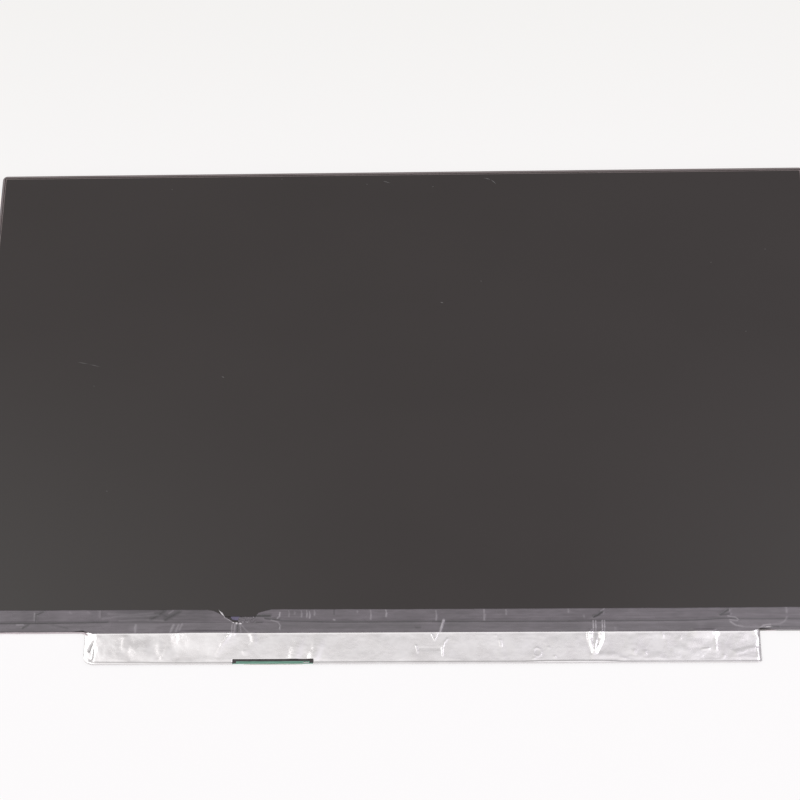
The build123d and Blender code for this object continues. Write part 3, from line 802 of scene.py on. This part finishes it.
def make_sheet(name, points, kept, thickness, finish, marks=()):
    """A thin solid from a grid of points in metres, without the cells that aren't kept."""
    rows, columns = points.shape[:2]
    corner = np.arange(rows * columns).reshape(rows, columns)
    cells = np.stack((corner[:-1, :-1], corner[1:, :-1], corner[1:, 1:], corner[:-1, 1:]), axis=-1)[kept]
    used, faces = np.unique(cells, return_inverse=True)
    mesh = bpy.data.meshes.new(name)
    mesh.from_pydata(points.reshape(-1, 3)[used].tolist(), [], faces.reshape(-1, 4).tolist())
    for title, amount in marks:
        layer = mesh.attributes.new(title, "FLOAT", "POINT")
        layer.data.foreach_set("value", np.clip(amount, 0.0, 1.0).ravel()[used].astype(np.float32))
    mesh.materials.append(finish)
    mesh.shade_smooth()
    sheet = bpy.data.objects.new(name, mesh)
    scene.collection.objects.link(sheet)
    wall_of_sheet = sheet.modifiers.new("thickness", "SOLIDIFY")
    wall_of_sheet.thickness = thickness * MM
    wall_of_sheet.offset = -1.0
    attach(sheet, "root")
    print(name, "has", len(mesh.polygons), "cells")
    return sheet


# %% [markdown]
# ## The foil's line
# Seen from the side, the foil leaves the tape, drops to the board, runs level to its lower edge and turns
# under it. The line's points are rows and heights, taken from the board, so the foil always fits round it.
# Just before the turn the foil stands up in a low lip that throws a thin dark line. The lip wanders, so its
# row and its rise are given at a few places along the board.

# %% Foil line
tape_end_row = 185.95
foil_flap = 1.55
slot_row = 195.6
lip_start_row = 196.1
lip_end_row = 197.15
board_top = board_high.z / MM
board_bottom = board_low.z / MM
foil_top = board_top + 0.18
foil_line = [
    (185.05, 2.40),
    (186.10, foil_top + 0.09),
    (186.55, foil_top),
    (slot_row, foil_top),
    (lip_start_row, foil_top),
    (lip_end_row, foil_top),
    (foil_end_row - 0.18, foil_top - 0.14),
    (foil_end_row, foil_top - 0.40),
    (foil_end_row - 0.03, board_bottom - 0.02),
    (foil_end_row - 0.25, board_bottom - 0.09),
    (foil_end_row - foil_flap, board_bottom - 0.09),
]
foil_lengths = lengths_along(foil_line)
foil_start_row = foil_line[0][0]
# The lip along the board: place and row of its upper flank, then place and rise
lip_rows = ((-107.0, 196.55), (-92.0, 196.68), (-76.0, 196.92), (-62.0, 196.95), (-28.0, 196.80))
lip_rows += ((20.0, 196.76), (44.0, 196.78), (52.0, 196.54), (70.0, 196.54), (74.0, 196.62))
lip_rows += ((79.0, 196.92), (95.0, 197.00))
lip_rises = ((-108.0, 0.12), (-62.0, 0.17), (-20.0, 0.19), (60.0, 0.23), (128.0, 0.28))
print("the foil's line is", round(foil_lengths[-1], 2), "mm long")

# %% [markdown]
# ## The foil's sheet
# A grid is easiest to shape while it is still rows and columns of numbers. The line gives the rows, closer
# together in the lip, and the columns are closer together where creases are thin. Creases and lip are added
# to the heights, the ends are pinched to the seam and rounded, and the slot for the socket is a block of
# cells that is left out. Only then do the numbers become a mesh.

# %% Foil sheet
foil_thickness = 0.05
foil_step = 0.26
lip_step = 0.10
lip_flank = 0.23
crease_end_row = lip_start_row + 0.4
slot_left = -59.05
slot_right = -30.35
seam_height = 1.10
right_pinch_power = 4
left_rounding = 0.25
right_rounding = 0.06
foil_left = foil_low.x / MM
foil_right = foil_high.x / MM
foil_columns = stations(
    [foil_left, board_left, slot_left, slot_right, 4.0, 18.0, 65.0, 74.0, board_right, foil_right],
    [0.22, 0.36, 0.36, 0.42, 0.22, 0.42, 0.14, 0.40, 0.22],
)
row_steps = [lip_step if row == lip_start_row else foil_step for row, _ in foil_line[:-1]]
foil_stations = stations(foil_lengths.tolist(), row_steps)
rows_flat, heights_flat = follow(foil_line, foil_stations)
foil_x, foil_row = np.meshgrid(foil_columns, rows_flat)
foil_z = np.meshgrid(foil_columns, heights_flat)[1]
foil_index = np.meshgrid(foil_columns, np.arange(len(foil_stations)))[1]
turn_index = int(np.searchsorted(foil_stations, foil_lengths[foil_line.index((lip_end_row, foil_top))]))
before_turn = foil_index <= turn_index

on_top = ease(crease_end_row - foil_row) * before_turn
foil_z = foil_z + on_top * foil_lift(foil_x, foil_row - tape_end_row)
below_lip = foil_row - between(lip_rows, foil_x)
lip_form = np.interp(below_lip, (-lip_flank, lip_flank, 3 * lip_flank), (0.0, 1.0, 0.5))
foil_z = foil_z + lip_form * before_turn * between(lip_rises, foil_x)
past_left = np.clip((board_left - foil_x) / (board_left - foil_left), 0.0, 1.0)
past_right = np.clip((foil_x - board_right) / (foil_right - board_right), 0.0, 1.0)
foil_z = seam_height + (foil_z - seam_height) * (1.0 - past_left - past_right**right_pinch_power)
rounding = 1.0 - left_rounding * (1.0 - np.sqrt(1.0 - past_left**2))
rounding = rounding - right_rounding * (1.0 - np.sqrt(1.0 - past_right**2))
foil_row = foil_start_row + (foil_row - foil_start_row) * rounding

middle_x = (foil_x[:-1, :-1] + foil_x[:-1, 1:]) / 2
slot_start = int(np.argmin(np.abs(rows_flat[:turn_index] - slot_row)))
in_slot = (middle_x > slot_left) & (middle_x < slot_right) & (foil_index[:-1, :-1] >= slot_start)
foil_points = np.stack((foil_x * MM, y_of(foil_row), foil_z * MM), axis=-1)
# The shade mark: painted shade in the foil's dents, hollows and broad patches
foil_marks = [("shade", on_top * lift(foil_x, foil_row - tape_end_row, foil_shades, ROUND))]
foil_wrap = make_sheet("foil_wrap", foil_points, ~in_slot, foil_thickness, bright_foil, foil_marks)
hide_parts("foil_shield")

# %% [markdown]
# ## The tape
# The black tape is a soft film that laps onto the screen, drops over the edge of the glass and lands on the
# foil. Past the foil's ends it stops at the frame's lower edge instead. It has been lifted and stuck again,
# so it is full of short pulls, and its upper edge is torn open above the socket. The tear is not a hole cut
# in a finished sheet: each column of points simply starts further down where the film is gone.

# %% Tape creases
# Places are millimetres from the panel's middle, and millimetres below the tape's upper edge
tape_ridges = [
    (-130.6, 0.7, -130.6, 4.6, 0.02, 0.45),
    (-136.8, 5.4, -134.4, 5.3, 0.10, 0.4),
    (-118.0, 0.6, -117.6, 1.3, 0.05, 0.5),
    (-111.5, 0.7, -110.8, 1.1, 0.05, 0.5),
    (-107.2, 0.4, -107.1, 2.6, 0.07, 0.5),
    (-82.3, 1.4, -80.8, 0.3, 0.07, 0.4),
    (-94.0, 5.6, -94.2, 8.2, 0.09, 0.7),
    (-80.4, 5.6, -81.6, 8.2, 0.11, 0.6),
    (-78.6, 5.6, -79.6, 8.0, 0.10, 0.5),
    (-77.3, 5.2, -78.4, 7.4, 0.09, 0.5),
    (-58.3, 5.1, -56.9, 5.3, 0.18, 0.4),
    (-59.4, 5.6, -59.7, 8.4, 0.09, 0.5),
    (-58.4, 5.4, -58.7, 8.3, 0.10, 0.55),
    (-56.7, 5.6, -56.3, 8.3, 0.08, 0.4),
    (-56.4, 5.5, -53.6, 8.6, 0.07, 0.4),
    (-23.3, 3.9, -22.9, 4.0, 0.16, 0.45),
    (15.9, 4.2, 14.6, 8.6, 0.28, 0.6),
    (71.6, 1.2, 73.0, 0.2, 0.10, 0.35),
    (65.6, 2.7, 65.7, 3.4, 0.06, 0.5),
    (76.7, 7.0, 76.7, 8.3, 0.07, 0.4),
    (117.0, 4.6, 119.6, 4.9, 0.10, 0.4),
    (137.2, 0.3, 137.2, 2.0, 0.06, 0.6),
]
# Short pulls that hang from the upper edge: place, start, end and rise
tape_pulls = (
    (-39.4, 0.6, 2.6, 0.06),
    (-37.4, 0.8, 1.8, 0.05),
    (-34.9, 0.6, 2.8, 0.08),
    (-33.0, 0.5, 2.9, 0.10),
    (-32.0, 0.9, 3.2, 0.12),
    (-30.3, 0.5, 2.2, 0.08),
    (-15.0, 0.7, 1.2, 0.07),
    (-10.2, 0.4, 3.8, 0.09),
    (-4.7, 0.4, 2.8, 0.13),
    (13.1, 0.7, 4.2, 0.10),
    (30.2, 0.4, 4.2, 0.12),
    (38.0, 0.5, 2.2, 0.08),
    (60.1, 0.5, 1.5, 0.08),
)
pull_bend = 0.25
pull_lean = 0.1
for x, start, end, height in tape_pulls:
    middle = 0.5 * (start + end)
    tape_ridges.append((x, start, x + pull_bend, middle, height, 0.35))
    tape_ridges.append((x + pull_bend, middle, x + pull_lean, end, 1.3 * height, 0.45))
# Sharp pulls below the pucker
tape_ridges += [(x, 4.7, x, 8.5, 0.15, 0.35) for x in (68.8, 69.7, 72.0, 72.8)]
# Long waves on the left, the torn lip, the curl beside the tear, and the folds at the right end
tape_ridges += chain([(-106.0, 3.2), (-99.5, 2.2), (-92.0, 2.4), (-86.0, 1.9)], 0.04, 0.6)
tape_ridges += chain([(-104.0, 1.4), (-96.0, 1.7), (-88.0, 1.2)], 0.04, 0.6)
tape_ridges += chain([(-100.0, 4.0), (-92.0, 3.6), (-84.0, 3.9)], 0.04, 0.5)
tape_ridges += chain([(-62.3, 2.9), (-59.8, 4.3), (-58.2, 5.2)], 0.10, 0.35)
tape_ridges += chain([(-42.5, 1.2), (-42.7, 2.6), (-43.4, 3.3)], 0.17, 0.4)
tape_ridges += chain([(-45.6, 4.0), (-43.1, 4.7), (-42.3, 6.0), (-42.5, 7.4)], 0.10, 0.4)
tape_ridges += chain([(116.4, 3.2), (119.0, 3.6), (120.0, 4.5)], 0.10, 0.4)
tape_ridges += chain([(117.2, 5.3), (119.0, 6.5), (121.5, 7.0)], 0.11, 0.5)
tape_ridges += chain([(121.5, 7.0), (124.5, 7.2), (127.3, 7.2)], 0.06, 0.5)
tape_ridges += chain([(127.8, 7.3), (128.7, 6.6), (131.2, 6.3)], 0.15, 0.55)
tape_ridges += chain([(131.2, 6.3), (134.6, 6.2), (136.3, 5.2), (137.2, 3.6)], 0.06, 0.5)
# Dark furrows
tape_furrows = [
    (-129.9, 1.4, -129.9, 4.6, 0.11, 0.45),
    (-129.7, 1.6, -127.4, 0.5, 0.18, 0.45),
    (-134.6, 6.5, -132.1, 5.2, 0.20, 0.4),
    (-126.0, 4.9, -118.5, 6.6, 0.10, 0.4),
    (-106.5, 0.3, -106.4, 2.6, 0.07, 0.3),
    (-88.6, 3.4, -84.0, 0.4, 0.14, 0.9),
    (-83.6, 3.6, -78.6, 0.7, 0.14, 0.9),
    (-84.6, 1.6, -81.2, 3.2, 0.08, 0.6),
    (-50.9, 2.4, -46.0, 2.4, 0.30, 0.5),
    (-57.5, 5.6, -57.6, 8.2, 0.18, 0.35),
    (-51.2, 4.8, -48.8, 4.7, 0.16, 0.4),
    (-23.2, 0.1, -23.2, 2.0, 0.14, 0.3),
    (6.0, 6.9, 7.4, 6.9, 0.14, 0.5),
    (12.2, 4.7, 14.4, 4.6, 0.16, 0.4),
    (113.9, 2.7, 116.6, 0.9, 0.26, 0.6),
    (114.6, 2.6, 116.8, 2.4, 0.20, 0.6),
]
tape_furrows += chain([(-47.8, 3.3), (-45.6, 3.7), (-42.6, 3.9)], 0.20, 0.42)
tape_furrows += chain([(69.2, 3.2), (70.6, 2.6), (72.0, 1.5)], 0.26, 0.6)
# The line where the film bends over the edge of the glass, deeper at both ends
tape_furrows += chain([(-157.0, 4.8), (-129.5, 4.8), (-104.0, 4.5)], 0.21, 0.4)
tape_furrows += chain([(-104.0, 4.5), (-70.0, 4.7), (-60.0, 4.8)], 0.06, 0.35)
tape_furrows += chain([(-42.0, 4.2), (-24.0, 4.7), (0.0, 4.7), (60.0, 4.8)], 0.13, 0.4)
tape_furrows += chain([(60.0, 4.8), (104.0, 4.6), (115.0, 4.0), (121.0, 4.2), (157.0, 4.4)], 0.17, 0.4)
# The lower edge, beyond the foil's ends
tape_furrows += [(-157.0, 7.75, -118.5, 7.65, 0.09, 0.3), (131.8, 7.05, 134.3, 7.15, 0.24, 0.4)]
tape_furrows += [(134.3, 7.15, 157.0, 7.15, 0.15, 0.35)]
# Broad patches painted darker, and broad patches painted paler
darker_patches = [(-98.0, 1.8, -70.0, 1.8, 0.28, 4.5), (-72.0, 7.0, 104.0, 7.0, 0.16, 2.6)]
darker_patches += [(-157.0, 6.8, -112.0, 6.8, 0.14, 2.4), (-157.0, 2.6, -124.0, 2.6, 0.12, 5.0)]
darker_patches += [(-42.0, 6.0, 5.0, 6.0, 0.30, 2.6), (15.0, 6.0, 60.0, 6.0, 0.24, 2.6)]
darker_patches += [(109.0, 6.5, 119.0, 6.5, 0.22, 2.6), (-83.0, 6.5, -72.0, 6.5, 0.14, 2.4)]
paler_patches = [(120.0, 2.0, 157.0, 3.0, 0.12, 14.0), (66.0, 7.0, 76.0, 7.0, 0.08, 3.0)]
paler_patches += [(80.0, 4.0, 112.0, 4.0, 0.07, 6.0), (-95.0, 6.5, -88.0, 6.5, 0.10, 2.4)]
# The torn edge: place, and how far below the upper edge the film begins
tear_edge = (
    (-68.6, 0.0),
    (-66.5, 0.35),
    (-64.0, 1.6),
    (-62.2, 2.7),
    (-60.5, 3.7),
    (-59.1, 4.7),
    (-57.9, 5.1),
    (-52.5, 5.0),
    (-51.5, 4.6),
    (-51.2, 2.9),
    (-50.9, 2.0),
    (-50.2, 1.2),
    (-47.9, 0.5),
    (-45.6, 0.0),
)
# The upper edge sags a little: place, and how far
edge_drop = ((-157.0, 0.0), (-40.0, 0.05), (0.0, 0.18), (85.0, 0.18), (157.0, 0.0))
print(len(tape_ridges), "ridges and", len(tape_furrows), "furrows in the tape")


# %% [markdown]
# ## The tape's finish
# The film is black with a purple-grey bloom, a satin face and fine lines along its length from the roll. A
# cloud stretched along X gives those lines, and a second, rounder cloud gives the bloom. Along a sharp fold
# the film is painted pale, a painted highlight, and in a furrow it is painted dark, a painted shade; broad
# patches are painted paler or darker too. The sheet carries both as marks on its points, worked out from the
# same creases and patches, so the finish only has to read them.


# %% Tape finish
def tape_finish():
    """Satin black film with a purple-grey bloom, a painted highlight on its folds and painted shade in its
    furrows.
    """
    finish, tree, shader = start_finish("satin_black_tape")
    lines = cloud(tree, 0.5, stretch=(70, 1, 1), detail=2.0)
    bloom = cloud(tree, 14)
    pale = tint(tree, bloom, (0.118, 0.101, 0.117), (0.146, 0.125, 0.145))
    dull = tint(tree, bloom, (0.090, 0.076, 0.088), (0.118, 0.100, 0.116))
    film = mix_tint(tree, span(tree, lines, 0.0, 1.0, 0.35, 0.65), dull, pale)
    scuffs = cloud(tree, 0.8, stretch=(5, 1, 1), detail=2.0)
    film = mix_tint(tree, span(tree, scuffs, 0.0, 0.28, 0.52, 0.72), film, (0.200, 0.176, 0.200, 1.0))
    film = mix_tint(tree, span(tree, scuffs, 0.28, 0.0, 0.28, 0.48), film, (0.050, 0.042, 0.049, 1.0))
    # Painted shade: dark in the furrows and the darker patches
    film = mix_tint(tree, mark(tree, "furrow"), film, (0.012, 0.010, 0.012, 1.0))
    # Painted highlight: pale along the folds, with the paler patches
    colour = mix_tint(tree, mark(tree, "fold"), film, (0.40, 0.37, 0.40, 1.0))
    normal = relief(tree, scuffs, 0.012, Normal=relief(tree, lines, 0.006))
    coat(tree, shader, colour, span(tree, bloom, 0.22, 0.30), normal, IOR=1.85)
    return finish


black_tape = tape_finish()
print(black_tape.name, "for the tape")

# %% [markdown]
# ## The tape's lines
# Over the foil the film follows one bent line, from the screen down to the foil. Past the foil's ends it
# follows another, round the frame's lower edge. At the left it stops at that edge, at the right it turns
# down over the side, and beside each end of the foil it stands off in a wedge. Those changes are given at a
# few places along the tape, so no second sheet is needed.

# %% Tape lines
tape_left = tape_low.x / MM
tape_right = tape_high.x / MM
screen_top = screen_high.z / MM
shared_line = [(tape_row, screen_top + 0.05), (182.75, screen_top + 0.05), (183.95, 2.66)]
foil_landing = shared_line + [(185.08, 2.52), (185.98, 2.06), (186.20, 2.03)]
frame_landing = shared_line + [(185.40, 2.38), (185.56, 2.26), (185.60, 2.05), (185.62, 0.75)]
foil_length = lengths_along(foil_landing)[-1]
frame_length = lengths_along(frame_landing)[-1]
# How much earlier than the frame's line the film ends, and how far it stands off: place and amount
film_ends = ((-157.0, 1.30), (-118.6, 1.30), (-116.5, 1.50), (-113.4, 1.95), (-112.6, 1.90), (-111.5, 1.30))
film_ends += ((126.4, 1.30), (127.9, 1.90), (131.0, 1.60), (133.4, 0.30), (135.0, 0.0), (157.0, 0.0))
stand_offs = ((-118.6, 0.0), (-113.4, 1.0), (-112.0, 0.0), (126.6, 0.0), (128.0, 1.0), (133.4, 0.0))
print("tape lines of", round(foil_length, 2), "mm over the foil,", round(frame_length, 2), "mm past it")

# %% [markdown]
# ## The tape's sheet
# The tape is a grid too, but its rows are shares of each column's own length, because columns start lower in
# the tear and end at different places. A furrow is sunk between two banks. Where a fold of the foil would
# come through, the tape is draped over it. The marks for the painted highlight on folds and the painted shade
# in furrows come from the same creases, so colour and shape agree.

# %% Tape sheet
tape_thickness = 0.06
bank_width = 2.5
furrow_shade_width = 1.4
furrow_depth = 1.2
deepest_furrow = 0.03
full_fold = 0.22
full_furrow = 0.24
stand_off_height = 0.22
stand_off_start = 6.0
stand_off_fade = 1.5
landing_fade = 3.0
drape_gap = 0.10
drape_fade = 0.3
edge_waver = 0.05
edge_waver_size = 6.0
hill_height = 0.020
hill_size = 3.0
tape_columns = stations(
    [tape_left, -138.0, -126.0, -107.0, -76.0, -68.6, -40.0, 16.0, 62.0, 76.0, 112.0, 138.0, tape_right],
    [0.60, 0.25, 0.50, 0.28, 0.40, 0.16, 0.24, 0.46, 0.14, 0.50, 0.25, 0.45],
)
tape_start = between(tear_edge, tape_columns) + between(edge_drop, tape_columns)
waver = hills(tape_columns, np.zeros_like(tape_columns), edge_waver_size, seed=21)
tape_start = np.maximum(tape_start + edge_waver * waver, 0.0)
on_foil = ease((tape_columns - foil_left) / landing_fade) * ease((foil_right - tape_columns) / landing_fade)
film_length = frame_length - between(film_ends, tape_columns)
tape_end = on_foil * foil_length + (1.0 - on_foil) * film_length
tape_share = stations([0.0, 0.46, 0.66, 1.0], [0.031, 0.016, 0.029])[:, None]
tape_down = tape_start + (tape_end - tape_start) * tape_share
tape_x = np.broadcast_to(tape_columns, tape_down.shape)
foil_rows, foil_heights = follow(foil_landing, tape_down)
frame_rows, frame_heights = follow(frame_landing, tape_down)
tape_rows = on_foil * foil_rows + (1.0 - on_foil) * frame_rows
tape_heights = on_foil * foil_heights + (1.0 - on_foil) * frame_heights

banks = [(*line, depth, bank_width * half) for *line, depth, half in tape_furrows]
# The lines along which the furrows are painted dark, as painted shade
furrow_shade_lines = [(*line, depth, furrow_shade_width * half) for *line, depth, half in tape_furrows]
sunk = lift(tape_x, tape_down, tape_furrows)
tape_lift = lift(tape_x, tape_down, tape_ridges) + lift(tape_x, tape_down, banks) - furrow_depth * sunk
tape_lift = tape_lift + hill_height * hills(tape_x, tape_down, hill_size, seed=22)
off_frame = stand_off_height * between(stand_offs, tape_columns)
off_frame = off_frame * ease((tape_down - stand_off_start) / stand_off_fade)
tape_lift = np.maximum(tape_lift, -deepest_furrow) + off_frame
tape_z = tape_heights + tape_lift
foil_below = between(foil_line[:4], tape_rows) + foil_fold(tape_x, tape_rows - tape_end_row)
drape = on_foil * ease((tape_rows - foil_start_row) / drape_fade)
tape_z = tape_z + drape * np.maximum(foil_below + drape_gap - tape_z, 0.0)

# Painted highlight along the ridges, plus the paler patches
highlight_and_paler_share = lift(tape_x, tape_down, tape_ridges, TENT) / full_fold
highlight_and_paler_share = highlight_and_paler_share + lift(tape_x, tape_down, paler_patches, ROUND)
# Painted shade along the furrows, plus the darker patches
shade_and_darker_share = lift(tape_x, tape_down, furrow_shade_lines, TENT) / full_furrow
shade_and_darker_share = shade_and_darker_share + lift(tape_x, tape_down, darker_patches, ROUND)
tape_points = np.stack((tape_x * MM, y_of(tape_rows), tape_z * MM), axis=-1)
tape_marks = [("fold", highlight_and_paler_share), ("furrow", shade_and_darker_share)]
tape_cells = all_cells(tape_rows)
torn_tape = make_sheet("torn_tape", tape_points, tape_cells, tape_thickness, black_tape, tape_marks)
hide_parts("cover_tape")

# %% [markdown]
# ## Under and beside the tape
# More shows where the tape stops. In the tear, two thin layers lie on the glass: a dark one at the left,
# partly the tape's lower layer and partly a sheet of painted shade under the torn lip, and a grey one,
# speckled with glue, at the right. Beside both ends of the foil the film stands off, and a black sheet of
# painted shade lies under it, and there the folded edge of the aluminium back is bare on the panel's lower
# side, dulled by glue. Each is a short strip that follows a bent line, so one function makes them all.


# %% Strips under and beside the tape
def strip(name, columns, rows, heights, thickness, finish):
    """A thin strip from its columns' places and from grids of its points' rows and heights."""
    strip_x = np.broadcast_to(columns, rows.shape)
    points = np.stack((strip_x * MM, y_of(rows), heights * MM), axis=-1)
    make_sheet(name, points, all_cells(rows), thickness, finish)


# A black film, used as painted shade under the standing tape and under the torn lip
shade_film = inner_finishes["black_insulating_film"]
dull_metal = plain_finish("dulled_metal_edge", (0.62, 0.545, 0.57), (0.72, 0.64, 0.665), 2.5, (0.45, 0.6))
film_thickness = 0.03
edge_foot = 0.10
edge_gap = 0.07
edge_shares = np.linspace(0.0, 1.0, 7)[:, None]
# The bare metal edges: name, first and last place, and height of the upper edge
metal_edges = (("cover_edge_left", tape_left, -112.9, 2.15), ("cover_edge_right", 129.6, 133.6, 1.25))
for name, start, end, top in metal_edges:
    edge_columns = stations([start, end], [0.5])
    edge_heights = top + (edge_foot - top) * edge_shares + 0.0 * edge_columns
    edge_places = np.broadcast_to(edge_columns, edge_heights.shape)
    edge_rows = frame_end_row + edge_gap + 0.03 * hills(edge_places, edge_heights, 2.5, seed=31)
    strip(name, edge_columns, edge_rows, edge_heights, foil_thickness, dull_metal)

# The black sheets of painted shade under the standing film, along a bent line: name, first and last place,
# and how far they follow the line
under_line = [(184.20, 2.44), (185.30, 2.24), (185.57, 2.10), (185.60, 0.30)]
shade_sheets = (("tape_shade_sheet_left", -119.4, -112.7, 1.45), ("tape_shade_sheet_right", 127.8, 133.6, 3.2))
for name, start, end, depth in shade_sheets:
    under_columns = stations([start, end], [0.4])
    under_lengths = depth * np.linspace(0.0, 1.0, 14)[:, None] + 0.0 * under_columns
    under_rows, under_heights = follow(under_line, under_lengths)
    strip(name, under_columns, under_rows, under_heights, film_thickness, shade_film)

# The layers in the tear, the dark one partly painted shade under the torn lip: their upper edge is a place
# and how far below the tape's upper edge it lies
speckle = ((0.070, 0.061, 0.068), (0.235, 0.215, 0.235), 0.45, (0.25, 0.40), 0.01)
speckled_film = plain_finish("speckled_film", *speckle)
layer_foot = 5.3
dark_edge = ((-62.6, 2.4), (-60.2, 2.6), (-59.4, 3.9), (-56.2, 3.9))
grey_edge = ((-57.4, 3.6), (-57.0, 2.7), (-54.0, 2.5), (-51.0, 2.55))
layers = (
    # The dark layer is partly the tape's lower layer and partly painted shade under the torn lip
    ("tape_lower_layer_and_shade", dark_edge, 2.70, shade_film),
    ("tape_middle_layer", grey_edge, 2.75, speckled_film),
)
for name, edge, height, finish in layers:
    layer_columns = stations([edge[0][0], edge[-1][0]], [0.25])
    layer_start = between(edge, layer_columns)
    layer_rows = tape_row + layer_start + (layer_foot - layer_start) * edge_shares
    layer_places = np.broadcast_to(layer_columns, layer_rows.shape)
    layer_rows = layer_rows + 0.12 * hills(layer_places, layer_rows, 0.8, seed=32)
    layer_heights = height + 0.02 * hills(layer_places, layer_rows, 0.7, seed=33)
    strip(name, layer_columns, layer_rows, layer_heights, film_thickness, finish)

# %% [markdown]
# ## Splinters and crumbs
# The torn film's bits, the scraps of foil, the crumbs of glue and the dust are all the same kind of thing: a
# tiny splinter that lies on a surface. They could be scattered by a particle system, but each has a known
# place. So each is a closed shape of five points, two tips, two sides and a top. Splinters of one kind are
# kept in one mesh, because they are cleaned off together.


# %% Splinters
def splinters(name, marks, finish):
    """Splinters in one mesh: each has two tips, a width and the height of the surface it lies on."""
    points = []
    faces = []
    for x0, row0, x1, row1, width, height in marks:
        first = Vector((x0 * MM, y_of(row0), height * MM))
        last = Vector((x1 * MM, y_of(row1), height * MM))
        side = (last - first).cross(Vector((0, 0, 1))).normalized() * width / 2 * MM
        middle = (first + last) / 2
        base = len(points)
        points += [first, middle + side, last, middle - side, middle + Vector((0, 0, width / 2 * MM))]
        faces += [(base + i, base + (i + 1) % 4, base + 4) for i in range(4)]
        faces.append((base + 3, base + 2, base + 1, base))
    mesh = bpy.data.meshes.new(name)
    mesh.from_pydata(points, [], faces)
    mesh.materials.append(finish)
    piece = bpy.data.objects.new(name, mesh)
    scene.collection.objects.link(piece)
    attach(piece, "root")
    print(name, "has", len(marks), "splinters")
    return piece


# Painted near white: partly whitened torn film and foil, partly a painted highlight where the curled edge
# catches the light
pale_film_and_highlight = plain_finish("torn_film_and_highlight", (0.80, 0.77, 0.79), (0.94, 0.92, 0.93), 0.2, (0.25, 0.40))
on_tape = screen_top + 0.06
torn_bits = [
    (-64.5, tape_row + 0.2, -62.2, tape_row + 2.8, 0.55, on_tape),
    (-62.2, tape_row + 2.9, -59.2, tape_row + 4.8, 0.14, on_tape),
    (-59.6, tape_row + 4.7, -58.6, tape_row + 5.0, 0.40, on_tape),
    (-58.5, tape_row + 4.9, -57.3, tape_row + 5.3, 0.85, on_tape),
    (-57.3, tape_row + 5.1, -55.9, tape_row + 5.3, 0.65, on_tape),
    (128.7, tape_row + 7.25, 131.9, tape_row + 7.05, 0.22, 2.78),
    (-51.9, tape_row + 2.3, -52.2, tape_row + 3.5, 0.24, 2.68),
    (-56.3, tape_row + 4.7, -55.2, tape_row + 4.7, 0.18, 2.74),
    (-54.8, tape_row + 4.6, -53.4, tape_row + 4.7, 0.14, 2.74),
]
splinters("torn_film_bits", torn_bits, pale_film_and_highlight)
foil_scraps = [(-34.2, 196.7, -32.6, 196.8, 0.55, board_top), (-33.1, 196.9, -31.6, 196.7, 0.60, board_top)]
splinters("foil_scraps", foil_scraps, bright_foil)
glue_bits = [(-113.5, 185.6, -112.0, 186.2, 1.1, 1.85), (-112.7, 185.9, -111.5, 186.5, 0.8, 1.95)]
splinters("glue_bits", glue_bits, dull_metal)

# %% [markdown]
# ## The dust
# Dust is what makes a switched-off screen look like a real surface and not like a hole. There are a few
# hairs, which are splinters drawn out long, and a few specks, which are all alike. They are grey and rough,
# and just pale enough to catch the eye up close.

# %% Dust
dust_grey = plain_finish("dust", (0.16, 0.155, 0.155), (0.26, 0.255, 0.255), 0.1, (0.60, 0.80))
speck_reach = 0.2
speck_lean = 0.1
speck_width = 0.32
dust_specks = ((-46.8, 2.6), (-90.2, 6.75), (-13.2, 5.3), (12.8, 6.7), (31.1, 48.2), (119.4, 41.1))
dust_specks += ((130.7, 70.3), (140.5, 35.7), (-115.4, 90.6), (-107.7, 132.6))
# Hairs: both tips, as places and rows, and the width
dust_lines = [
    (15.3, 57.0, 16.7, 57.4, 0.30),
    (-67.3, 87.2, -66.1, 87.6, 0.30),
    (-6.9, 4.0, -4.1, 4.95, 0.22),
    (-122.6, 80.7, -118.0, 81.6, 0.14),
    (-118.0, 81.6, -113.6, 82.8, 0.14),
    (32.9, 3.2, 35.6, 3.9, 0.22),
    (35.6, 3.9, 37.6, 5.9, 0.22),
]
for x, row in dust_specks:
    dust_lines.append((x - speck_reach, row, x + speck_reach, row + speck_lean, speck_width))
screen_dust = splinters("screen_dust", [(*line, screen_top) for line in dust_lines], dust_grey)
